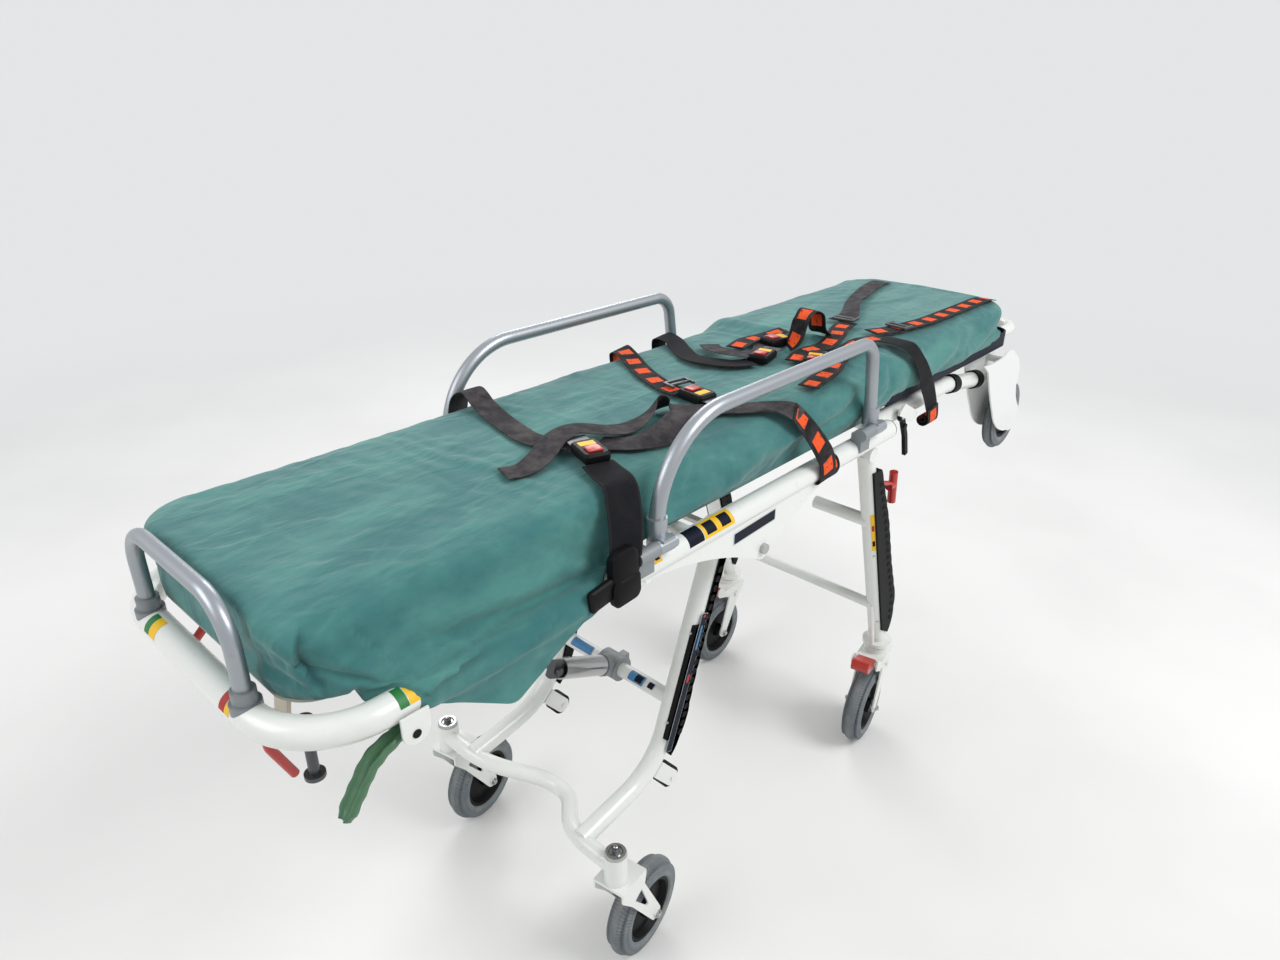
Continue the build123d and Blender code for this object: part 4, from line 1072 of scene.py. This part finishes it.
# Green pedal lever under the near rail: a tapered blade with scalloped edges, on its white ear
leverLook = {
    "route": [(-0.957, 0.868), (-0.975, 0.868), (-1.009, 0.853), (-1.034, 0.822), (-1.056, 0.790)],
    "y": -0.270, "half": 0.012, "thick": 0.011,
    "taper": (0.66, 0.46, 2.2),        # the blade's share of half at the pivot, what it gains, and how soon
    "tip": (0.94, 0.9, 6),             # where the tip starts, its share there, and how fast it closes
    "scallops": 7, "ripple": 0.0008, "rippleStart": 0.22,
    "pivot": [(0, 0.004), (0.0, 0.0075), (0.028, 0.0075), (0.028, 0.004)],
    "ear": 0.0205, "earTop": 0.024, "earAside": 0.018, "earThick": 0.004,
    "hole": [(0, 0.0062), (0.0006, 0.0062), (0.0002, 0.0046)],
}


def pedalLever():
    y = leverLook["y"]
    sideways = Vector((0, 1, 0))
    run = spline([(x, y, z) for x, z in leverLook["route"]], 14)
    edge = [(1, 0), (0.9, 0.5), (0.62, 0.5), (0.5, 0.22), (-0.5, 0.22), (-0.62, 0.5), (-0.9, 0.5)]
    section = edge + [(-u, -v) for u, v in edge]
    least, gain, rate = leverLook["taper"]
    tipStart, tipShare, tipRate = leverLook["tip"]
    points = []
    for k, place in enumerate(run):
        share = k / (len(run) - 1)
        ahead = Vector(run[min(k + 1, len(run) - 1)] - run[max(k - 1, 0)]).normalized()
        edgeWay = ahead.cross(sideways)
        taper = least + gain * min(1.0, share * rate)
        if share > tipStart:
            taper *= tipShare - (share - tipStart) * tipRate
        half = leverLook["half"] * taper
        if share > leverLook["rippleStart"]:
            half += leverLook["ripple"] * math.sin(2 * math.pi * leverLook["scallops"] * share)
        for u, v in section:
            points.append(Vector(place) + sideways * (u * half) + edgeWay * (v * leverLook["thick"]))
    piece("pedal_lever", points, ringFaces(len(section), len(run), flipped=True), "green_lever", "root")
    pivotSpots = [((-0.957, y - 0.014, 0.868), sideways)]
    lathed("pedal_pivot", pivotSpots, leverLook["pivot"], "bright_steel", "root")
    half, top = leverLook["ear"], leverLook["earTop"]
    rounded = [(-half * math.cos(turn), -0.002 - half * math.sin(turn))
               for turn in np.linspace(0, math.pi, 15)]
    outline = [(-half, top), *rounded, (half, top)]
    for name, side in (("pedal_ear_outer", -1), ("pedal_ear_inner", 1)):
        middle = (-0.955, y + side * leverLook["earAside"], 0.878)
        flatPart(name, outline, middle, (1, 0, 0), up, leverLook["earThick"], "white_paint", "root")
    # a thin black disc stands for the ear's hole: painted shade
    holeShadeSpots = [((-0.956, y - 0.0205, 0.872), -sideways)]
    lathed("pedal_ear_hole_shade", holeShadeSpots, leverLook["hole"], "black_plastic", "root", 24)


pedalLever()


# Blank labels: thin films on tubes and plates
filmLook = {"under": 0.00008, "over": 0.00034, "steps": 14}


def tubeLabel(name, start, end, radius, facing, span, finish, body):
    start = Vector(start)
    end = Vector(end)
    first, second = frameOf(end - start, facing)
    steps = filmLook["steps"]
    points = []
    for layer in (filmLook["under"], filmLook["over"]):
        for place in (start, end):
            for k in range(steps + 1):
                way = around(first, second, math.radians(span) * (k / steps - 0.5))
                points.append(place + way * (radius + layer))
    row = steps + 1
    faces = []
    for layer in (0, 2):
        for k in range(steps):
            a = layer * row + k
            quad = (a, a + 1, a + 1 + row, a + row)
            faces.append(quad if layer else quad[::-1])
    for k in range(steps):
        faces.append((k, k + 1, k + 1 + 2 * row, k + 2 * row))
        faces.append((row + k + 2 * row, row + k + 1 + 2 * row, row + k + 1, row + k))
    for a, b in ((0, row), (row - 1, 2 * row - 1)):
        quad = (a, a + 2 * row, b + 2 * row, b)
        faces.append(quad if a == 0 else quad[::-1])
    film = piece(name, points, faces, finish, body)
    modified(film, "EDGE_SPLIT", split_angle=math.radians(35))


railR, railY, railZ = 0.021, -0.261, 0.904
railFacing, footFacing = (0, -0.62, 0.78), (-0.1, -0.5, 0.85)
for name, low, high, facing, span, finish, above in (
    ("rail_label_navy", -0.424, -0.386, railFacing, 92, "label_navy", 0.0),
    ("rail_label_yellow", -0.384, -0.304, railFacing, 92, "label_yellow", 0.0),
    ("rail_label_block_one", -0.377, -0.352, railFacing, 62, "label_navy", 0.0003),
    ("rail_label_block_two", -0.338, -0.313, railFacing, 62, "label_navy", 0.0003),
    ("rail_tag_foot", -0.508, -0.490, railFacing, 60, "label_yellow", 0.0),
    ("rail_tag_mark", -0.504, -0.494, railFacing, 34, "label_navy", 0.0003),
    ("rail_label_foot_green", -0.968, -0.955, footFacing, 84, "label_green", 0.0),
    ("rail_label_foot_yellow", -0.954, -0.922, footFacing, 84, "label_yellow", 0.0),
):
    tubeLabel(name, (low, railY, railZ), (high, railY, railZ), railR + above, facing, span, finish, "root")
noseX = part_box("foot_loop")[0][0] + railR
for name, low, high, finish in (
    ("loop_label_green", 0.120, 0.106, "label_green"),
    ("loop_label_yellow", 0.105, 0.086, "label_yellow"),
    ("loop_label_red", -0.112, -0.126, "label_red"),
    ("loop_label_amber", -0.127, -0.139, "label_yellow"),
):
    tubeLabel(name, (noseX, low, railZ), (noseX, high, railZ), railR, (-0.62, 0, 0.78), 84, finish, "root")


# The legs, as straight runs from their pivots: the head legs' side label and the lock's cross tube
legLook = {"tube": 0.0195, "footY": 0.165, "headY": 0.243,
           "knee": (-0.374, 0.326), "headFoot": (0.4106, 0.262)}  # (x, z) where each straight run ends


def onLeg(pivot, foot, z, y):
    share = (pivot.z - z) / (pivot.z - foot[1])
    return Vector((pivot.x + (foot[0] - pivot.x) * share, y, z))


def footLegAt(z, y):
    return onLeg(jointAt["foot_legs"], legLook["knee"], z, y)


def headLegAt(z, y):
    return onLeg(jointAt["head_legs"], legLook["headFoot"], z, y)


for name, high, low, span, finish, above in (
    ("head_leg_label", 0.700, 0.592, 30, "label_yellow", 0.0),
    ("head_leg_label_red", 0.668, 0.652, 18, "label_red", 0.0003),
    ("head_leg_label_dark", 0.622, 0.606, 18, "label_navy", 0.0003),
):
    start, end = (headLegAt(z, -legLook["headY"]) for z in (high, low))
    tubeLabel(name, start, end, legLook["tube"] + above, (-0.66, -0.75, 0), span, finish, "head_legs")
clampLow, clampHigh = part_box("strut_clamp")
crossX, crossZ, crossR = (clampLow[0] + clampHigh[0]) / 2, 0.469, 0.0155
for name, low, high, span, finish, above in (
    ("cross_label_far", 0.052, 0.112, 80, "label_blue", 0.0),
    ("cross_label_near", -0.098, -0.058, 88, "label_blue", 0.0),
    ("cross_label_near_dark", -0.094, -0.076, 62, "label_navy", 0.0003),
    ("cross_label_mark", -0.124, -0.110, 50, "label_navy", 0.0),
):
    start, end = ((crossX, y, crossZ) for y in (low, high))
    tubeLabel(name, start, end, crossR + above, (-0.5, 0, 0.86), span, finish, "foot_legs")


def plateLabel(name, centre, half, across, upWay, finish, body):
    flatPart(name, roundedBox(half, 0.002, 3), centre, across, upWay, 0.0004, finish, body, bevel=0.0001)


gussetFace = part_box("gusset_right")[0][1]
for name, half, finish, above in (("gusset_label", (0.064, 0.0125), "label_pale", 0.0003),
                                  ("gusset_label_inner", (0.0615, 0.0102), "label_navy", 0.0006)):
    plateLabel(name, (-0.229, gussetFace - above, 0.866), half, (1, 0, 0.03), up, finish, "root")

# strip labels lie along the near foot leg's side
stripTop = Vector((-0.205, 0, 0.768))
stripFoot = Vector((-0.353, 0, 0.358))
stripWay = (stripTop - stripFoot).normalized()
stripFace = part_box("foot_leg_strips")[0][1]
for name, share, half, finish, above in (
    ("strip_label_edge", 0.375, (0.150, 0.0095), "label_pale", 0.0003),
    ("strip_label_field", 0.375, (0.1492, 0.0087), "label_navy", 0.0005),
    ("strip_label_red", 0.400, (0.009, 0.0040), "label_red", 0.0007),
    ("strip_label_blue", 0.600, (0.026, 0.0028), "label_blue", 0.0007),
    ("strip_label_flag", 0.705, (0.003, 0.0036), "label_red", 0.0007),
):
    middle = stripFoot + (stripTop - stripFoot) * share
    plateLabel(name, (middle.x - 0.007, stripFace - above, middle.z), half, stripWay,
               Vector((0, 1, 0)).cross(stripWay), finish, "foot_legs")
print("stage: labels")


# Small fittings, many of one kind in one mesh
def topOf(node, spot, reach):  # the highest point of a node within reach of a place in plan
    mesh = frame["nodes"][node].data
    return max(v.co.z for v in mesh.vertices if math.hypot(v.co.x - spot.x, v.co.y - spot.y) < reach)


# stacked on each foot caster's stem: name, how far above the sleeve, outline, steps round it, finish
stemStack = (
    ("stem_caps", 0.0, [(0, 0.0205), (0.0045, 0.0205), (0.0068, 0.0188), (0.0068, 0.0140), (0.0040, 0.0120),
                        (0.0040, 0.0105)], 40, "bright_steel"),
    ("stem_washers", 0.004, [(0, 0.0105), (0.0022, 0.0105)], 32, "bright_steel"),
    ("stem_nuts", 0.0062, [(0, 0.0070), (0, 0.0082), (0.0065, 0.0082), (0.0075, 0.0070)], 6, "dark_steel"),
    ("stem_threads", 0.0137, [(0, 0.0042), (0.0045, 0.0042), (0.0055, 0.0030)], 16, "bright_steel"),
)
stems = []
for side in ("right", "left"):
    pin = jointAt[f"foot_fork_{side}"]
    stems.append(Vector((pin.x, pin.y, topOf("foot_leg_frame", pin, 0.024))))
for name, above, outline, steps, finish in stemStack:
    spots = [(stem + Vector((0, 0, above)), up) for stem in stems]
    lathed(name, spots, outline, finish, "foot_legs", steps)


# axle bolts: a washer and a domed head on each side of every fork
def forkReach(node, pin, axis):  # how far a fork's cheek stands from the wheel's middle, along the axle
    ways = [v.co - pin for v in frame["nodes"][node].data.vertices]
    return max(abs(way.dot(axis)) for way in ways if (way - axis * way.dot(axis)).length < 0.016)


boltHead = [(0, 0.0088), (0.0012, 0.0088), (0.0012, 0.0062), (0.0048, 0.0058), (0.0062, 0.0040)]
for end in ("head", "foot"):
    for side in ("right", "left"):
        joint = joints[f"{end}_wheel_{side}"]
        pin, axis = Vector(joint["pos_m"]), Vector(joint["axis"]).normalized()
        reach = forkReach(f"{end}_fork_{side}", pin, axis)
        spots = [(pin + axis * reach * way, axis * way) for way in (1, -1)]
        name = f"{end}_axle_bolts_{side}"
        lathed(name, spots, boltHead, "bright_steel", joint["parent"], 24)


# The strips grip the legs from outside, so the lip on each leg's inner foot side is cut back. A strip has
# small screws on its leg's side, and rows of dimples near its outer edge, on both faces
stripLook = {
    "foot": {"legAt": footLegAt, "y": legLook["footY"], "screws": (0.615, 0.435),
             "rows": (0.400, 0.745, 0.0185), "edge": ([0.424, 0.482, 0.592], [0.027, 0.020, 0.0145])},
    "head": {"legAt": headLegAt, "y": legLook["headY"], "screws": (0.572, 0.352),
             "rows": (0.345, 0.775, 0.0225),
             "edge": ([0.345, 0.408, 0.526, 0.658, 0.775], [0.030, 0.045, 0.037, 0.033, 0.020])},
    "lip": 0.008, "half": 0.023, "sunk": 0.0004,
    "screw": [(0, 0.0036), (0.0012, 0.0034), (0.0022, 0.0020)],
    "dimple": [(0, 0.0074), (0.0010, 0.0064), (0.0013, 0.0056), (0.0008, 0.0044), (0.0002, 0.0020),
               (0.0001, 0.0004)],
}


def stripScrews(end):
    look = stripLook[end]
    spots = []
    for sign in (-1, 1):
        facing = Vector((-0.72, sign * 0.69, 0)).normalized()
        out = facing * (legLook["tube"] - stripLook["sunk"])
        spots += [(look["legAt"](z, sign * look["y"]) + out, facing) for z in look["screws"]]
    lathed(f"{end}_leg_screws", spots, stripLook["screw"], "bright_steel", f"{end}_legs", 14)


def clippedStrips(end):
    look, node, body = stripLook[end], f"{end}_leg_strips", f"{end}_legs"
    made = bpy.data.objects.new(f"{end}_strips", frame["nodes"][node].data.copy())
    bpy.context.scene.collection.objects.link(made)
    legWay = (look["legAt"](0.7, 0) - look["legAt"](0.4, 0)).normalized()
    ahead = legWay.cross(Vector((0, 1, 0)))
    ahead *= math.copysign(1, ahead.x)
    lipAt = look["legAt"](0.5, 0) + ahead * stripLook["lip"]
    cuts = [(Vector((0, side * look["y"], 0)), Vector((0, 1, 0))) for side in (-1, 1)] + [(lipAt, ahead)]
    work = bmesh.new()
    work.from_mesh(made.data)
    for spot, normal in cuts:
        everything = work.verts[:] + work.edges[:] + work.faces[:]
        bmesh.ops.bisect_plane(work, geom=everything, plane_co=spot, plane_no=normal)
    lips = [face for face in work.faces
            if abs(face.calc_center_median().y) < look["y"] - 1e-5
            and (face.calc_center_median() - lipAt).dot(ahead) < -1e-5]
    bmesh.ops.delete(work, geom=lips, context="FACES")
    bmesh.ops.holes_fill(work, edges=[edge for edge in work.edges if edge.is_boundary])
    work.to_mesh(made.data)
    work.free()
    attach(made, body)
    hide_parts(node)


def stripDimples(end):
    look = stripLook[end]
    spots = []
    for sign in (-1, 1):
        for face in (-1, 1):
            y = sign * look["y"] + face * stripLook["half"]
            spots += [(look["legAt"](z, y) + Vector((np.interp(z, *look["edge"]), 0, 0)), (0, face, 0))
                      for z in np.arange(*look["rows"])]
    name = f"{end}_strip_dimples"
    lathed(name, spots, stripLook["dimple"], "black_rubber", f"{end}_legs", 14)


for dress in (stripScrews, clippedStrips, stripDimples):
    for end in ("foot", "head"):
        dress(end)
print("stage: fittings")


# Rail head plugs and the cream post inside the loop
plugOutline = [(0, 0.0205), (0.003, 0.0205), (0.006, 0.017), (0.007, 0.010)]
for side, y in (("right", railY), ("left", -railY)):
    spots = [((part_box(f"rail_{side}")[1][0], y, railZ), (1, 0, 0))]
    lathed(f"rail_plug_{side}", spots, plugOutline, "black_plastic", "root")
postHalf = [(0.016, -0.03), (0.018, 0.012), (0.012, 0.024)]
postOutline = [(-0.016, -0.03), *postHalf, (-0.012, 0.024), (-0.018, 0.012)]
postAt, postUp = (-1.048, -0.135, 0.889), (0.15, 0, 1)
flatPart("loop_post", postOutline, postAt, (0, 1, 0), postUp, 0.006, "cream_metal", "root")


# Camera, light and floor
cameraLook = {"place": (-1.3843, -1.0536, 1.6165), "yaw": 42.6, "pitch": 25.55, "roll": 0.3,
              "focal": 872.5, "pictureWidth": 1280, "sensor": 36.0}


def photoCamera():
    yaw, pitch, roll = (math.radians(cameraLook[key]) for key in ("yaw", "pitch", "roll"))
    ahead = Vector((math.cos(yaw) * math.cos(pitch), math.sin(yaw) * math.cos(pitch), -math.sin(pitch)))
    right = Vector((math.sin(yaw), -math.cos(yaw), 0))
    top = right.cross(ahead)
    rightRolled = right * math.cos(roll) + top * math.sin(roll)
    topRolled = top * math.cos(roll) - right * math.sin(roll)
    turn = Matrix((rightRolled, topRolled, -ahead)).transposed().to_4x4()
    turn.translation = Vector(cameraLook["place"])
    data = bpy.data.cameras.new("photo_camera")
    data.sensor_width = cameraLook["sensor"]
    data.lens = cameraLook["focal"] / cameraLook["pictureWidth"] * cameraLook["sensor"]
    data.clip_start = 0.02
    data.dof.use_dof = False
    obj = bpy.data.objects.new("photo_camera", data)
    obj.matrix_world = turn
    bpy.context.scene.collection.objects.link(obj)
    bpy.context.scene.camera = obj


studioLook = {
    "world": 0.66, "backdrop": 0.8, "sky": (0.97, 0.985, 1.0, 1.0),
    "fade": (1.9, 5.5),  # the floor goes over into the backdrop's light between these distances
    "floor": ((222, 222, 220), (229, 229, 227)), "floorHalf": 30.0,
    "lamps": {
        "key_lamp": {"place": (1.2, -3.4, 4.2), "target": (0, 0, 0.7), "size": (2.4, 2.4), "power": 150},
        "fill_lamp": {"place": (-3.6, 1.2, 3.2), "target": (0, 0, 0.7), "size": (3.0, 2.0), "power": 60},
        "back_lamp": {"place": (2.6, 3.2, 3.4), "target": (0.2, 0, 0.8), "size": (2.4, 1.6), "power": 60},
    },
}


def lamp(name, place, target, size, power):
    data = bpy.data.lights.new(name, "AREA")
    data.shape = "RECTANGLE"
    data.size, data.size_y = size
    data.energy = power
    obj = bpy.data.objects.new(name, data)
    obj.location = place
    obj.rotation_euler = (Vector(target) - Vector(place)).to_track_quat("-Z", "Y").to_euler()
    bpy.context.scene.collection.objects.link(obj)


def sky():  # plain light on the object, and a brighter backdrop where it is seen, mirrored or through glass
    board = Board(bpy.data.worlds.new("studio"))
    seen, mirrored, through = (board.node("ShaderNodeLightPath", out=f"Is {ray} Ray")
                               for ray in ("Camera", "Glossy", "Transmission"))
    strength = board.node("ShaderNodeMix", {}, {0: seen.most(mirrored).most(through), 2: studioLook["world"],
                                                3: studioLook["backdrop"]})
    light = board.node("ShaderNodeBackground", {}, {"Color": studioLook["sky"], "Strength": strength})
    return board.close(light, "ShaderNodeOutputWorld")


def paleFloor():
    board = Board(bpy.data.materials.new("floor_pale"))
    low, high = (shade(*colour) for colour in studioLook["floor"])
    colour = board.tint(board.cloudy(1.2, 3.0).between(0.3, 0.7), low, high)
    ground = board.node("ShaderNodeBsdfPrincipled", {}, {
        "Base Color": colour, "Roughness": 0.8, "Normal": board.bump(board.cloudy(220.0, 2.0), 0.0001)})
    glow = board.node("ShaderNodeEmission", {},
                      {"Color": studioLook["sky"], "Strength": studioLook["backdrop"]})
    far = board.node("ShaderNodeVectorMath", {"operation": "LENGTH"}, {0: board.spot()}, out="Value")
    faded = board.node("ShaderNodeMixShader", {}, {0: far.between(*studioLook["fade"]), 1: ground, 2: glow})
    return board.close(faded)


def studio():
    bpy.context.scene.world = sky()
    for name, look in studioLook["lamps"].items():
        lamp(name, **look)
    finishes["floor_pale"] = paleFloor()
    wide = studioLook["floorHalf"]
    corners = [(-wide, -wide, 0), (wide, -wide, 0), (wide, wide, 0), (-wide, wide, 0)]
    floor = piece("studio_floor", corners, [(0, 1, 2, 3)], "floor_pale")


photoCamera()
studio()
bpy.context.scene.view_settings.view_transform = "Standard"
print("stage: camera and light")
